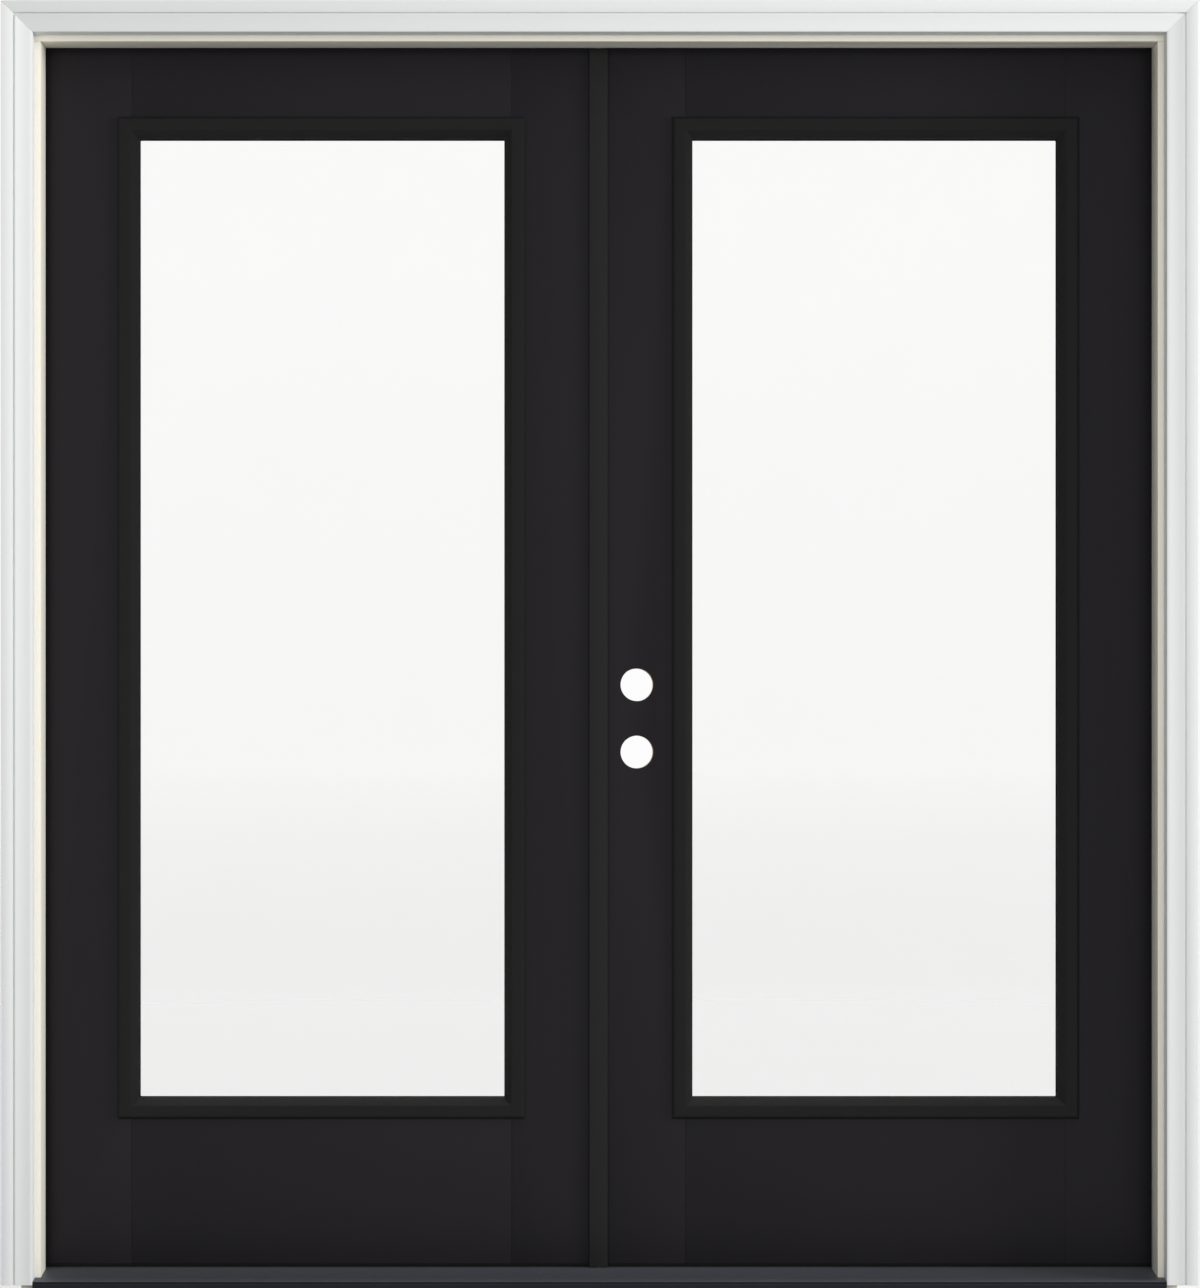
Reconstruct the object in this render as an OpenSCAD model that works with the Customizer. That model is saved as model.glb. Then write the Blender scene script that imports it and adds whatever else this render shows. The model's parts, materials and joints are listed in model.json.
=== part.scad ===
// Pair of inswing french doors, prehung in a rabbeted frame with brickmould and a sloped sill.
// X runs across the doorway, -Y is outside, +Y is inside and Z is up.
// The origin is the middle of the sill's underside, halfway through the jamb's depth.
// The leaf on the -X side is held by flush bolts and carries the astragal; the other has the lock bores.

/* [Leaves] */
// Width of one leaf
leaf_w = 914.4; // [760:0.1:1100]
// Height of one leaf
leaf_h = 2006.6; // [1670:0.1:2410]
// Thickness of one leaf
leaf_t = 44.45; // [41:0.05:54]
// Height of a leaf's bottom edge above the sill's underside
leaf_lift = 34; // [32:0.5:40]
// Thickness of the faces of a leaf
skin_t = 2; // [1.5:0.1:3]
// Width of the stile that carries the hinges
hinge_stile_w = 38; // [34:1:46]
// Height of the rail along the top
top_rail_h = 38; // [30:1:60]
// Height of the rail along the bottom
bottom_rail_h = 60; // [40:1:90]
// Gap between the two leaves
meeting_gap = 6; // [5:0.5:8]
// Gap between a leaf and the jamb at its hinges
hinge_gap = 3; // [2.5:0.1:4]
// Gap between a leaf and the head of the frame
head_gap = 3; // [2.5:0.1:4]
// Width of the joint lines in a leaf's faces
joint_line_w = 1.2; // [0.8:0.1:2]
// Depth of the joint lines in a leaf's faces
joint_line_d = 0.6; // [0.3:0.1:1]
// Distance from the meeting edge to its joint line
lock_joint_x = 139.8; // [120:0.1:160]
// Distance from the hinge edge to its joint line
hinge_joint_x = 149.6; // [120:0.1:170]

/* [Glazing] */
// Leaf face between the meeting edge and the visible glass
lock_margin = 152; // [145:0.5:190]
// Leaf face between the hinge edge and the visible glass
hinge_margin = 161; // [110:0.5:200]
// Leaf face above the visible glass
top_margin = 154.6; // [100:0.1:200]
// Leaf face below the visible glass
bottom_margin = 272.3; // [130:0.1:400]
// Width of the glazing frame's face
lite_frame_w = 34; // [31:0.5:40]
// How far the glazing frame stands out of the leaf
lite_frame_proud = 7; // [4:0.5:10]
// Width of the bevel beside the glass
lite_bevel_w = 12; // [8:0.5:12]
// Width and depth of the chamfer on the glazing frame's outer edge
lite_chamfer = 4.5; // [2:0.5:4.5]
// Thickness of one glass pane
pane_t = 3.2; // [3:0.1:4]
// Air space between the two panes
air_space = 12.6; // [9:0.1:14]
// How far the panes reach behind the glazing frame
glass_bite = 12.5; // [10:0.5:12.5]
// Distance from the glass's corners to the first screws along its short sides
lite_corner_screw = 150.35; // [80:0.05:170]
// Spacing aimed at between the glazing screws
lite_screw_step = 290; // [200:10:400]

/* [Lock preparation] */
// Distance from the meeting edge to the middle of the lock bores
backset = 60.3; // [60:0.1:63]
// Diameter of the lock bores
lock_bore_d = 53.975; // [50:0.005:54]
// Height of the latch bore above the leaf's bottom edge
latch_height = 841.3; // [780:0.1:1000]
// Distance from the latch bore up to the deadbolt bore
deadbolt_rise = 110.9; // [100:0.1:140]
// Wood left between the lock bores and the back of their stile
bore_wall = 7.7125; // [5:0.0125:15]
// Diameter of the bores in the edge
edge_bore_d = 25.4; // [20:0.1:25.4]
// Width of the faceplate recess
faceplate_w = 25.4; // [25.4:0.1:28]
// Height of the faceplate recess
faceplate_h = 57; // [50:1:60]
// Depth of the faceplate recess
faceplate_d = 3; // [2:0.5:4]

/* [Frame] */
// Depth of the jambs through the wall
jamb_depth = 116; // [110:1:140]
// Thickness of the jambs at the stop
jamb_t = 31.75; // [29:0.05:38]
// Depth of the rabbet that the leaves close into
rabbet = 12.7; // [12:0.1:14]
// Space between the stop and the leaves, filled by the weatherstrip
seal_space = 12.55; // [12.2:0.05:14]
// Width of the kerf that holds the weatherstrip
kerf_w = 3; // [2.8:0.1:3.4]
// Depth of the kerf
kerf_d = 9; // [8:0.5:11]
// Distance from the rabbet's face to the kerf
kerf_inset = 1; // [0.8:0.1:1.5]
// Radius of the weatherstrip's bulb
bulb_r = 5.4; // [5:0.1:5.4]

/* [Brickmould] */
// Width of the brickmould
mould_w = 50.8; // [42:0.1:70]
// Thickness of the brickmould
mould_t = 31.75; // [26:0.05:38]
// Width of the jamb's edge left showing
mould_reveal = 9.525; // [6:0.005:12]
// Height of the brickmould's foot above the sill's underside
mould_foot = 13.4; // [5:0.1:15]
// Width of the flat band along the brickmould's outer edge
mould_band_w = 19.4; // [12:0.1:22]
// Width of the groove beside that band
mould_groove_w = 3; // [2:0.1:4]
// Depth of the groove
mould_groove_d = 4.5; // [3:0.1:6]
// How far the inner field is hollowed
mould_hollow_d = 2; // [1:0.1:2.5]

/* [Sill] */
// How far the sill's nose stands out past the brickmould's face
nose_proud = 0.25; // [0:0.05:5]
// Height of the sill's front edge
nose_h = 19; // [18:0.1:21]
// Height of the sill deck where it meets the threshold
deck_rear_h = 28.3; // [27:0.1:28.3]
// Distance from where the deck ends to the leaves' outer face
deck_setback = 0.55; // [0:0.05:3]
// Thickness of the deck's metal
deck_t = 2; // [1.5:0.1:2.5]
// Height of the groove under the front edge
nose_groove_h = 2.4; // [1.5:0.1:3]
// Depth of the groove under the front edge
nose_groove_d = 3; // [2:0.1:4]
// Height of the front edge above that groove
nose_lip_h = 1; // [0.8:0.1:2]
// Height of the lower edge of the nose's metal
nose_bottom = 2; // [1:0.5:4]
// Thickness of the threshold cap
cap_t = 6; // [4:0.5:8]
// Step from the deck's rear edge down to the threshold cap
cap_step = 0.1; // [0:0.05:0.5]
// Gap between the door sweeps and the threshold cap
sweep_gap = 0.4; // [0.3:0.1:1]
// Thickness of the sweep's base strip
sweep_base_t = 1.4; // [1:0.1:2]
// Thickness of one sweep fin
sweep_fin_t = 2.5; // [1.5:0.1:3]
// Number of fins on a sweep
sweep_fins = 5; // [3:1:7]
// Height of the corner pads above the threshold cap
pad_h = 50; // [30:1:70]

/* [Hinges] */
// Height of a hinge
hinge_h = 101.6; // [80:0.1:120]
// Thickness of a hinge leaf
hinge_plate_t = 2.5; // [2:0.1:3]
// Width of the hinge leaf that is let into the wood
hinge_plate_w = 38; // [34:0.5:38]
// Gap between the hinge barrel and the leaf's inner face
barrel_gap = 0.5; // [0.3:0.1:2]
// Radius of the hinge barrel
barrel_r = 6.5; // [6:0.1:6.5]
// Radius of the hinge pin
pin_r = 4; // [3:0.1:4.5]
// Radial clearance of the pin in its knuckles
pin_clear = 0.05; // [0.02:0.01:0.1]
// Gap between two knuckles
knuckle_gap = 0.3; // [0.2:0.05:0.5]
// Distance from a leaf's top edge to its top hinge
hinge_top = 178; // [150:1:300]
// Distance from a leaf's bottom edge to its bottom hinge
hinge_bottom = 254; // [150:1:300]

/* [Astragal and bolts] */
// Half of the width of the astragal's face
astragal_half_w = 15; // [12:0.5:16]
// Thickness of the astragal's metal
astragal_t = 3; // [2:0.1:3]
// Space between the astragal's back and the active leaf
astragal_space = 3.05; // [2.5:0.05:4]
// Thickness of the astragal's leg along the leaf's edge
astragal_leg_t = 2.5; // [2:0.1:2.5]
// How far that leg reaches past the leaf's outer face
astragal_leg_d = 8; // [7:0.1:9]
// Radius of the flush bolts
bolt_r = 4.75; // [4:0.05:5]
// Radial clearance of a flush bolt in its bore
bolt_clear = 0.06; // [0.02:0.01:0.1]
// Travel of the flush bolts
bolt_throw = 16; // [12:0.5:16]
// Distance from the meeting edge to the bolts' axis
bolt_inset = 11; // [10.5:0.5:12]
// Height of a flush bolt's plate
bolt_plate_h = 170; // [150:1:200]
// Width of a flush bolt's plate
bolt_plate_w = 24; // [23:0.5:26]
// Distance from a flush bolt's plate to the leaf's end
bolt_plate_end = 25; // [20:1:40]
// Width of a strike plate
strike_w = 28.6; // [28:0.1:30]
// Height of a strike plate
strike_h = 57.2; // [55:0.1:70]
// Thickness of the edge plates
plate_t = 2.5; // [2:0.1:3]

/* [Screws] */
// Radius of the screws' shanks
screw_r = 2; // [1.6:0.1:2.4]
// Radius of the screws' heads
screw_head_r = 4; // [3.5:0.1:4.2]
// Height of the countersunk heads
screw_head_h = 2.2; // [1.8:0.1:2.4]
// Clearance around the screws
screw_clear = 0.1; // [0.05:0.05:0.2]
// Wood left between a hinge screw's point and the jamb's back
jamb_screw_cover = 2.05; // [1:0.05:6]
// Length of the hinge and edge plate screws in the leaves
leaf_screw_l = 25; // [20:1:30]
// Length of the glazing screws
lite_screw_l = 46; // [42:0.5:48]
// Length of the screws that join the frame
frame_screw_l = 75; // [60:1:90]

/* [Hidden] */
$fn = 48;

// Colours
black_paint = [0.16, 0.15, 0.16];
black_metal = [0.18, 0.18, 0.18];
cream_vinyl = [0.90, 0.88, 0.83];
white_mould = [0.91, 0.92, 0.91];
slate_metal = [0.22, 0.23, 0.25];
hinge_metal = [0.66, 0.64, 0.60];
wood = [0.76, 0.62, 0.44];
foam = [0.93, 0.90, 0.78];
rubber = [0.20, 0.20, 0.20];
glass = [0.80, 0.88, 0.88, 0.35];
sill_substrate = [0.45, 0.44, 0.42];

// Clearance left between the pieces of one soft or fitted pair
slip = 0.3;
// Clearance on each side of a weatherstrip's stem in its kerf
stem_slip = 0.2;
// Gap at the ends of the astragal, its seal and the sweeps
end_gap = 1;
// Overrun that takes a cut past the face it starts from
over = 1;

// Places along Y
jamb_y = jamb_depth / 2;
inner_y = jamb_y;
outer_y = inner_y - leaf_t;
mid_y = (inner_y + outer_y) / 2;
shoulder_y = outer_y - seal_space;
mould_y = -jamb_y - mould_t;
nose_y = mould_y - nose_proud;

// Places along X, on the +X side
edge_x = meeting_gap / 2;
leaf_x = edge_x + leaf_w;
rabbet_x = leaf_x + hinge_gap;
stop_x = rabbet_x - rabbet;
frame_x = stop_x + jamb_t;
mould_x = stop_x + mould_reveal;

// Places along Z
leaf_top = leaf_lift + leaf_h;
rabbet_z = leaf_top + head_gap;
stop_z = rabbet_z - rabbet;
frame_z = stop_z + jamb_t;
mould_z = stop_z + mould_reveal;
cap_top = deck_rear_h - cap_step;
cap_bottom = cap_top - cap_t;
pad_top = cap_top + pad_h;

// Visible glass
lite_x0 = edge_x + lock_margin;
lite_x1 = leaf_x - hinge_margin;
lite_z0 = leaf_lift + bottom_margin;
lite_z1 = leaf_top - top_margin;
lite_w = lite_x1 - lite_x0;
lite_h = lite_z1 - lite_z0;
lite_mid = [(lite_x0 + lite_x1) / 2, 0, (lite_z0 + lite_z1) / 2];

// Glazing unit and the frame that clamps it
unit_half_t = pane_t + air_space / 2;
glass_y = mid_y - unit_half_t;
lite_face_y = outer_y - lite_frame_proud;
web_in = glass_bite + 1;
web_t = 6;
web_out = web_in + web_t;
web_mid = (web_in + web_out) / 2;
cutout_slip = 1;
cutout = web_out + cutout_slip;
spacer_in = 4;
spacer_inset = 0.5;
spacer_out = glass_bite - spacer_inset;
lite_profile = [
    [0, glass_y], [lite_bevel_w, lite_face_y], [lite_frame_w - lite_chamfer, lite_face_y],
    [lite_frame_w, lite_face_y + lite_chamfer], [lite_frame_w, outer_y], [web_out, outer_y],
    [web_out, mid_y], [web_in, mid_y], [web_in, glass_y]];

// Lock bores
bore_x = edge_x + backset;
latch_z = leaf_lift + latch_height;
deadbolt_z = latch_z + deadbolt_rise;
bore_heights = [latch_z, deadbolt_z];
lock_stile_w = backset + lock_bore_d / 2 + bore_wall;

// Hinges
hinge_x = (leaf_x + rabbet_x) / 2;
hinge_y = inner_y + barrel_r + barrel_gap;
top_hinge_z = leaf_top - hinge_top - hinge_h / 2;
bottom_hinge_z = leaf_lift + hinge_bottom + hinge_h / 2;
hinge_heights = [bottom_hinge_z, (bottom_hinge_z + top_hinge_z) / 2, top_hinge_z];
knuckles = 5;
knuckle_h = hinge_h / knuckles;
pin_head_lip = 1.5;
pin_head_r = pin_r + pin_head_lip;
pin_head_h = 2.5;
jamb_screw_l = jamb_t - rabbet - jamb_screw_cover;
hinge_screw_margin = 12.8;
hinge_screw_end = hinge_h / 2 - hinge_screw_margin;
hinge_screw_inner = 14;
hinge_screw_rows = [-hinge_screw_end, -hinge_screw_inner, hinge_screw_inner, hinge_screw_end];
hinge_screw_zigzag = 6;

// Sill
deck_end = outer_y - deck_setback;
deck_slope = (deck_rear_h - nose_h) / (deck_end - nose_y);
horn_x = mould_x - slip;
base_front_y = nose_y + nose_groove_d + deck_t;
groove_top = nose_h - nose_lip_h;
groove_bottom = groove_top - nose_groove_h;

// Flush bolts, in the leaf on the -X side
bolt_x = -edge_x - bolt_inset;
bolt_rest = 1;
bolt_plate_in = bolt_plate_end + bolt_plate_h;
slider_w = 12;
slider_h = 22;
knob_w = 6;
knob_h = 14;
knob_proud = 1.5;
slider_clear = 0.5;
pocket_back = bolt_x - slider_w / 2 - slider_clear;
slider_drop = 40;
slider_low = bolt_plate_in - slider_drop;
bolt_hole_clear = 1.25;
bolt_hole_r = bolt_r + bolt_hole_clear;
strike_tube_wall = 3;
strike_tube_r = bolt_hole_r + strike_tube_wall;
strike_tube_bottom = 14;
head_strike_w = 60;
head_strike_d = 26;
head_strike_t = 2;
sweep_hole_clear = 0.6;
sweep_hole_r = bolt_r + sweep_hole_clear;

// Strikes, in the leaf on the -X side
strike_hole_w = 16;
strike_hole_h = 27;
strike_hole_d = 22;

// Screws along an edge plate sit this far from its ends, and beside the bolt on a flush bolt's plate
plate_screw_end = 8;
astragal_screw_end = 60;
astragal_screw_step = 300;
bolt_screw_wall = 0.5;
bolt_screw_aside = bolt_r + screw_r + bolt_screw_wall;

// Height of the deck's upper face at a place along Y
function deck_z(y) = nose_h + (y - nose_y) * deck_slope;

// Evenly spread places between two ends, about one step apart
function spread(from, to, step) =
    let (count = max(1, round((to - from) / step)))
    [for (i = [0 : count]) from + (to - from) * i / count];

// ---------- Shared shapes ----------

module block(from, to) {
    translate(from) cube(to - from);
}

// Bar along Z with its section given as [x, y]
module bar_z(section, from, to) {
    translate([0, 0, from]) linear_extrude(to - from) polygon(section);
}

// Bar along X with its section given as [y, z]
module bar_x(section, from, to) {
    translate([from, 0, 0]) rotate([90, 0, 90]) linear_extrude(to - from) polygon(section);
}

module rod_x(place, r, length) {
    translate(place) rotate([0, 90, 0]) cylinder(r = r, h = length);
}

module rod_y(place, r, length) {
    translate(place) rotate([-90, 0, 0]) cylinder(r = r, h = length);
}

module rod_z(place, r, length) {
    translate(place) cylinder(r = r, h = length);
}

module on_left() {
    mirror([1, 0, 0]) children();
}

// Mitred ring round an opening; the section is [distance outward, y]
module ring(w, h, section) {
    n = len(section);
    corners = [[-1, -1], [1, -1], [1, 1], [-1, 1]];
    points = [for (c = corners) for (p = section) [c[0] * (w / 2 + p[0]), p[1], c[1] * (h / 2 + p[0])]];
    faces = [for (c = [0 : 3]) for (i = [0 : n - 1])
        [c * n + i, c * n + (i + 1) % n, (c + 1) % 4 * n + (i + 1) % n, (c + 1) % 4 * n + i]];
    polyhedron(points, faces);
}

// Countersunk screw with its head at the origin and its shank down -Z
module screw(length, grow = 0) {
    rotate_extrude() polygon([
        [0, grow], [screw_head_r + grow, grow], [screw_head_r + grow, 0],
        [screw_r + grow, -screw_head_h], [screw_r + grow, -length - grow], [0, -length - grow]]);
}

// Screws are turned so that the shank runs the named way
module screw_plus_x(place, length, grow = 0) {
    translate(place) rotate([0, -90, 0]) screw(length, grow);
}

module screw_minus_x(place, length, grow = 0) {
    translate(place) rotate([0, 90, 0]) screw(length, grow);
}

module screw_minus_y(place, length, grow = 0) {
    translate(place) rotate([-90, 0, 0]) screw(length, grow);
}

module screw_minus_z(place, length, grow = 0) {
    translate(place) screw(length, grow);
}

// ---------- Places of the screws ----------

module hinge_screw_places() {
    for (z = hinge_heights) {
        for (i = [0 : len(hinge_screw_rows) - 1]) {
            zigzag = i % 2 == 0 ? hinge_screw_zigzag : -hinge_screw_zigzag;
            y = inner_y - hinge_plate_w / 2 + zigzag;
            translate([0, y, z + hinge_screw_rows[i]]) children();
        }
    }
}

module jamb_hinge_screws(grow = 0) {
    hinge_screw_places() screw_plus_x([rabbet_x, 0, 0], jamb_screw_l, grow);
}

module leaf_hinge_screws(grow = 0) {
    hinge_screw_places() screw_minus_x([leaf_x, 0, 0], leaf_screw_l, grow);
}

module lite_screws(grow = 0) {
    face_y = 2 * mid_y - lite_face_y;
    for (x = [lite_x0 - web_mid, lite_x1 + web_mid]) {
        for (z = spread(lite_z0, lite_z1, lite_screw_step)) {
            screw_minus_y([x, face_y, z], lite_screw_l, grow);
        }
    }
    for (z = [lite_z0 - web_mid, lite_z1 + web_mid]) {
        for (x = spread(lite_x0 + lite_corner_screw, lite_x1 - lite_corner_screw, lite_screw_step)) {
            screw_minus_y([x, face_y, z], lite_screw_l, grow);
        }
    }
}

module side_frame_screws(grow = 0) {
    for (y = [-jamb_y / 2, jamb_y / 2]) {
        screw_minus_z([(rabbet_x + frame_x) / 2, y, frame_z], frame_screw_l, grow);
        screw_minus_x([frame_x, y, cap_bottom / 2], frame_screw_l, grow);
    }
}

module frame_screw_shapes(grow = 0) {
    side_frame_screws(grow);
    on_left() side_frame_screws(grow);
}

module edge_plate_screws(grow = 0) {
    for (z = bore_heights) {
        for (end = [-1, 1]) {
            screw_minus_x([-edge_x, mid_y, z + end * (strike_h / 2 - plate_screw_end)], leaf_screw_l, grow);
        }
    }
    for (z = [leaf_lift + bolt_plate_end, leaf_top - bolt_plate_in]) {
        for (end = [-1, 1]) {
            dz = bolt_plate_h / 2 + end * (bolt_plate_h / 2 - plate_screw_end);
            screw_minus_x([-edge_x, mid_y + end * bolt_screw_aside, z + dz], leaf_screw_l, grow);
        }
    }
}

module astragal_screws(grow = 0) {
    y = outer_y + (skin_t + astragal_leg_d) / 2;
    for (z = spread(leaf_lift + astragal_screw_end, leaf_top - astragal_screw_end, astragal_screw_step)) {
        screw_minus_x([astragal_leg_t - edge_x, y, z], leaf_screw_l, grow);
    }
}

// ---------- Frame ----------

module hinge_recess(x0, x1) {
    for (z = hinge_heights) {
        block([x0, inner_y - hinge_plate_w, z - hinge_h / 2], [x1, inner_y + over, z + hinge_h / 2]);
    }
}

module side_jamb() {
    section = [[stop_x, -jamb_y], [frame_x, -jamb_y], [frame_x, jamb_y], [rabbet_x, jamb_y],
        [rabbet_x, shoulder_y], [rabbet_x - kerf_inset, shoulder_y],
        [rabbet_x - kerf_inset, shoulder_y - kerf_d],
        [rabbet_x - kerf_inset - kerf_w, shoulder_y - kerf_d],
        [rabbet_x - kerf_inset - kerf_w, shoulder_y], [stop_x, shoulder_y]];
    color(cream_vinyl) difference() {
        bar_z(section, 0, rabbet_z);
        block([stop_x - over, -jamb_y - over, stop_z], [frame_x + over, shoulder_y, rabbet_z + over]);
        hinge_recess(rabbet_x - over, rabbet_x + hinge_plate_t);
        jamb_hinge_screws(screw_clear);
        side_frame_screws(screw_clear);
    }
}

module right_jamb() {
    side_jamb();
}

module left_jamb() {
    on_left() side_jamb();
}

module head_jamb() {
    section = [[-jamb_y, stop_z], [-jamb_y, frame_z], [jamb_y, frame_z], [jamb_y, rabbet_z],
        [shoulder_y, rabbet_z], [shoulder_y, rabbet_z - kerf_inset],
        [shoulder_y - kerf_d, rabbet_z - kerf_inset],
        [shoulder_y - kerf_d, rabbet_z - kerf_inset - kerf_w],
        [shoulder_y, rabbet_z - kerf_inset - kerf_w], [shoulder_y, stop_z]];
    color(cream_vinyl) difference() {
        bar_x(section, -frame_x, frame_x);
        block([bolt_x - head_strike_w / 2, mid_y - head_strike_d / 2, rabbet_z - over],
            [bolt_x + head_strike_w / 2, mid_y + head_strike_d / 2, rabbet_z + head_strike_t]);
        rod_z([bolt_x, mid_y, rabbet_z], bolt_hole_r, bolt_throw - head_gap + bolt_rest);
        frame_screw_shapes(screw_clear);
    }
}

// Section of the brickmould as [distance from its inner edge, distance out from the jamb]
function mould_section() =
    let (field_w = mould_w - mould_band_w - mould_groove_w, nosing = 4, steps = 8)
    concat(
        [[0, 0], [0, mould_t]],
        [for (i = [0 : steps])
            [nosing + (field_w - nosing) * i / steps, mould_t - mould_hollow_d * sin(180 * i / steps)]],
        [[field_w, mould_t - mould_groove_d], [field_w + mould_groove_w, mould_t - mould_groove_d],
            [field_w + mould_groove_w, mould_t], [mould_w, mould_t], [mould_w, 0]]);

module side_brickmould() {
    section = [for (p = mould_section()) [mould_x + p[0], -jamb_y - p[1]]];
    length = mould_w * 2;
    color(white_mould) difference() {
        bar_z(section, mould_foot, mould_z + mould_w);
        translate([mould_x, 0, mould_z]) rotate([0, -45, 0])
            block([-length, -jamb_y - mould_t - over, 0], [length, over - jamb_y, length]);
    }
}

module right_brickmould() {
    side_brickmould();
}

module left_brickmould() {
    on_left() side_brickmould();
}

module head_brickmould() {
    section = [for (p = mould_section()) [-jamb_y - p[1], mould_z + p[0]]];
    length = mould_w * 2;
    color(white_mould) difference() {
        bar_x(section, -mould_x - mould_w, mould_x + mould_w);
        for (side = [0, 1]) {
            mirror([side, 0, 0]) translate([mould_x, 0, mould_z]) rotate([0, -45, 0])
                block([-over, -jamb_y - mould_t - over, -length], [length, over - jamb_y, 0]);
        }
    }
}

// Weatherstrip: a bulb in the rabbet's corner on a stem in the kerf
module side_weatherstrip() {
    kerf_x = rabbet_x - kerf_inset;
    color(rubber) union() {
        rod_z([kerf_x - bulb_r, outer_y - slip - bulb_r, pad_top], bulb_r, stop_z - pad_top);
        block([kerf_x - kerf_w + stem_slip, shoulder_y - kerf_d + stem_slip, pad_top],
            [kerf_x - stem_slip, outer_y - slip - bulb_r, stop_z]);
    }
}

module right_weatherstrip() {
    side_weatherstrip();
}

module left_weatherstrip() {
    on_left() side_weatherstrip();
}

module head_weatherstrip() {
    kerf_z = rabbet_z - kerf_inset;
    end = rabbet_x - slip;
    color(rubber) union() {
        rod_x([-end, outer_y - slip - bulb_r, kerf_z - bulb_r + slip], bulb_r, 2 * end);
        block([-end, shoulder_y - kerf_d + stem_slip, kerf_z - kerf_w + stem_slip],
            [end, outer_y - slip - bulb_r, kerf_z - stem_slip]);
    }
}

// Plan of the sill: horns in front of the jambs, then between the stops, then between the rabbets
module sill_plan() {
    half = [[horn_x, nose_y - over], [horn_x, -jamb_y], [stop_x, -jamb_y], [stop_x, shoulder_y],
        [rabbet_x, shoulder_y], [rabbet_x, jamb_y + over]];
    count = len(half);
    outline = concat(half, [for (i = [1 : count]) [-half[count - i][0], half[count - i][1]]]);
    bar_z(outline, -over, deck_rear_h + over);
}

module sill_base() {
    section = [[base_front_y, 0], [base_front_y, deck_z(base_front_y) - deck_t],
        [deck_end, deck_rear_h - deck_t], [deck_end, cap_bottom], [jamb_y, cap_bottom], [jamb_y, 0]];
    color(sill_substrate) difference() {
        intersection() {
            bar_x(section, -rabbet_x, rabbet_x);
            sill_plan();
        }
        rod_z([bolt_x, mid_y, strike_tube_bottom], strike_tube_r, cap_top);
        frame_screw_shapes(screw_clear);
    }
}

module sill_deck() {
    section = [[deck_end, deck_rear_h], [nose_y, nose_h], [nose_y, groove_top],
        [nose_y + nose_groove_d, groove_top], [nose_y + nose_groove_d, groove_bottom],
        [nose_y, groove_bottom], [nose_y, nose_bottom], [base_front_y, nose_bottom],
        [base_front_y, deck_z(base_front_y) - deck_t], [deck_end, deck_rear_h - deck_t]];
    color(slate_metal) intersection() {
        bar_x(section, -rabbet_x, rabbet_x);
        sill_plan();
    }
}

module threshold_cap() {
    color(slate_metal) difference() {
        block([-rabbet_x, deck_end, cap_bottom], [rabbet_x, jamb_y, cap_top]);
        rod_z([bolt_x, mid_y, cap_bottom - over], strike_tube_r, cap_t + 2 * over);
    }
}

module side_corner_pad() {
    block([stop_x + slip, shoulder_y, cap_top + cap_step], [rabbet_x - slip, outer_y - slip, pad_top]);
}

module corner_pads() {
    color(rubber) {
        side_corner_pad();
        on_left() side_corner_pad();
    }
}

module frame_screws() {
    color(hinge_metal) frame_screw_shapes();
}

// Strike plate in the head and strike tube in the sill, for the flush bolts
module bolt_strikes() {
    color(hinge_metal) {
        difference() {
            block([bolt_x - head_strike_w / 2, mid_y - head_strike_d / 2, rabbet_z],
                [bolt_x + head_strike_w / 2, mid_y + head_strike_d / 2, rabbet_z + head_strike_t]);
            rod_z([bolt_x, mid_y, rabbet_z - over], bolt_hole_r, head_strike_t + 2 * over);
        }
        difference() {
            rod_z([bolt_x, mid_y, strike_tube_bottom], strike_tube_r, cap_top - strike_tube_bottom);
            rod_z([bolt_x, mid_y, strike_tube_bottom - over], bolt_hole_r, cap_top);
        }
    }
}

// ---------- Hinges ----------

// Knuckles and plates of one side of the hinges: parity 0 is the frame's, 1 is the leaf's
module hinge_leaves(plate_x0, plate_x1, parity) {
    for (z = hinge_heights) {
        bottom = z - hinge_h / 2;
        difference() {
            union() {
                block([plate_x0, inner_y - hinge_plate_w, bottom], [plate_x1, inner_y, bottom + hinge_h]);
                for (k = [parity : 2 : knuckles - 1]) {
                    low = bottom + k * knuckle_h + knuckle_gap / 2;
                    high = low + knuckle_h - knuckle_gap;
                    block([plate_x0, inner_y - over, low], [plate_x1, hinge_y, high]);
                    rod_z([hinge_x, hinge_y, low], barrel_r, high - low);
                }
            }
            rod_z([hinge_x, hinge_y, bottom - over], pin_r + pin_clear, hinge_h + 2 * over);
        }
    }
}

module frame_hinge_leaves() {
    color(hinge_metal) difference() {
        hinge_leaves(rabbet_x, rabbet_x + hinge_plate_t, 0);
        jamb_hinge_screws(screw_clear);
    }
}

module right_frame_hinge_leaves() {
    frame_hinge_leaves();
}

module left_frame_hinge_leaves() {
    on_left() frame_hinge_leaves();
}

module hinge_pins() {
    color(hinge_metal) for (z = hinge_heights) {
        bottom = z - hinge_h / 2 + knuckle_gap / 2;
        top = z + hinge_h / 2 - knuckle_gap / 2;
        translate([hinge_x, hinge_y, 0]) rotate_extrude() polygon([
            [0, bottom], [pin_r, bottom], [pin_r, top], [pin_head_r, top],
            [pin_head_r, top + pin_head_h], [0, top + pin_head_h]]);
    }
}

module right_hinge_pins() {
    hinge_pins();
}

module left_hinge_pins() {
    on_left() hinge_pins();
}

module frame_hinge_screws() {
    color(hinge_metal) {
        jamb_hinge_screws();
        on_left() jamb_hinge_screws();
    }
}

module door_hinge_leaves() {
    color(hinge_metal) difference() {
        hinge_leaves(leaf_x - hinge_plate_t, leaf_x, 1);
        leaf_hinge_screws(screw_clear);
    }
}

// ---------- Leaf pieces, drawn for the +X side ----------

module lite_cutout(y0, y1) {
    block([lite_x0 - cutout, y0, lite_z0 - cutout], [lite_x1 + cutout, y1, lite_z1 + cutout]);
}

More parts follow.
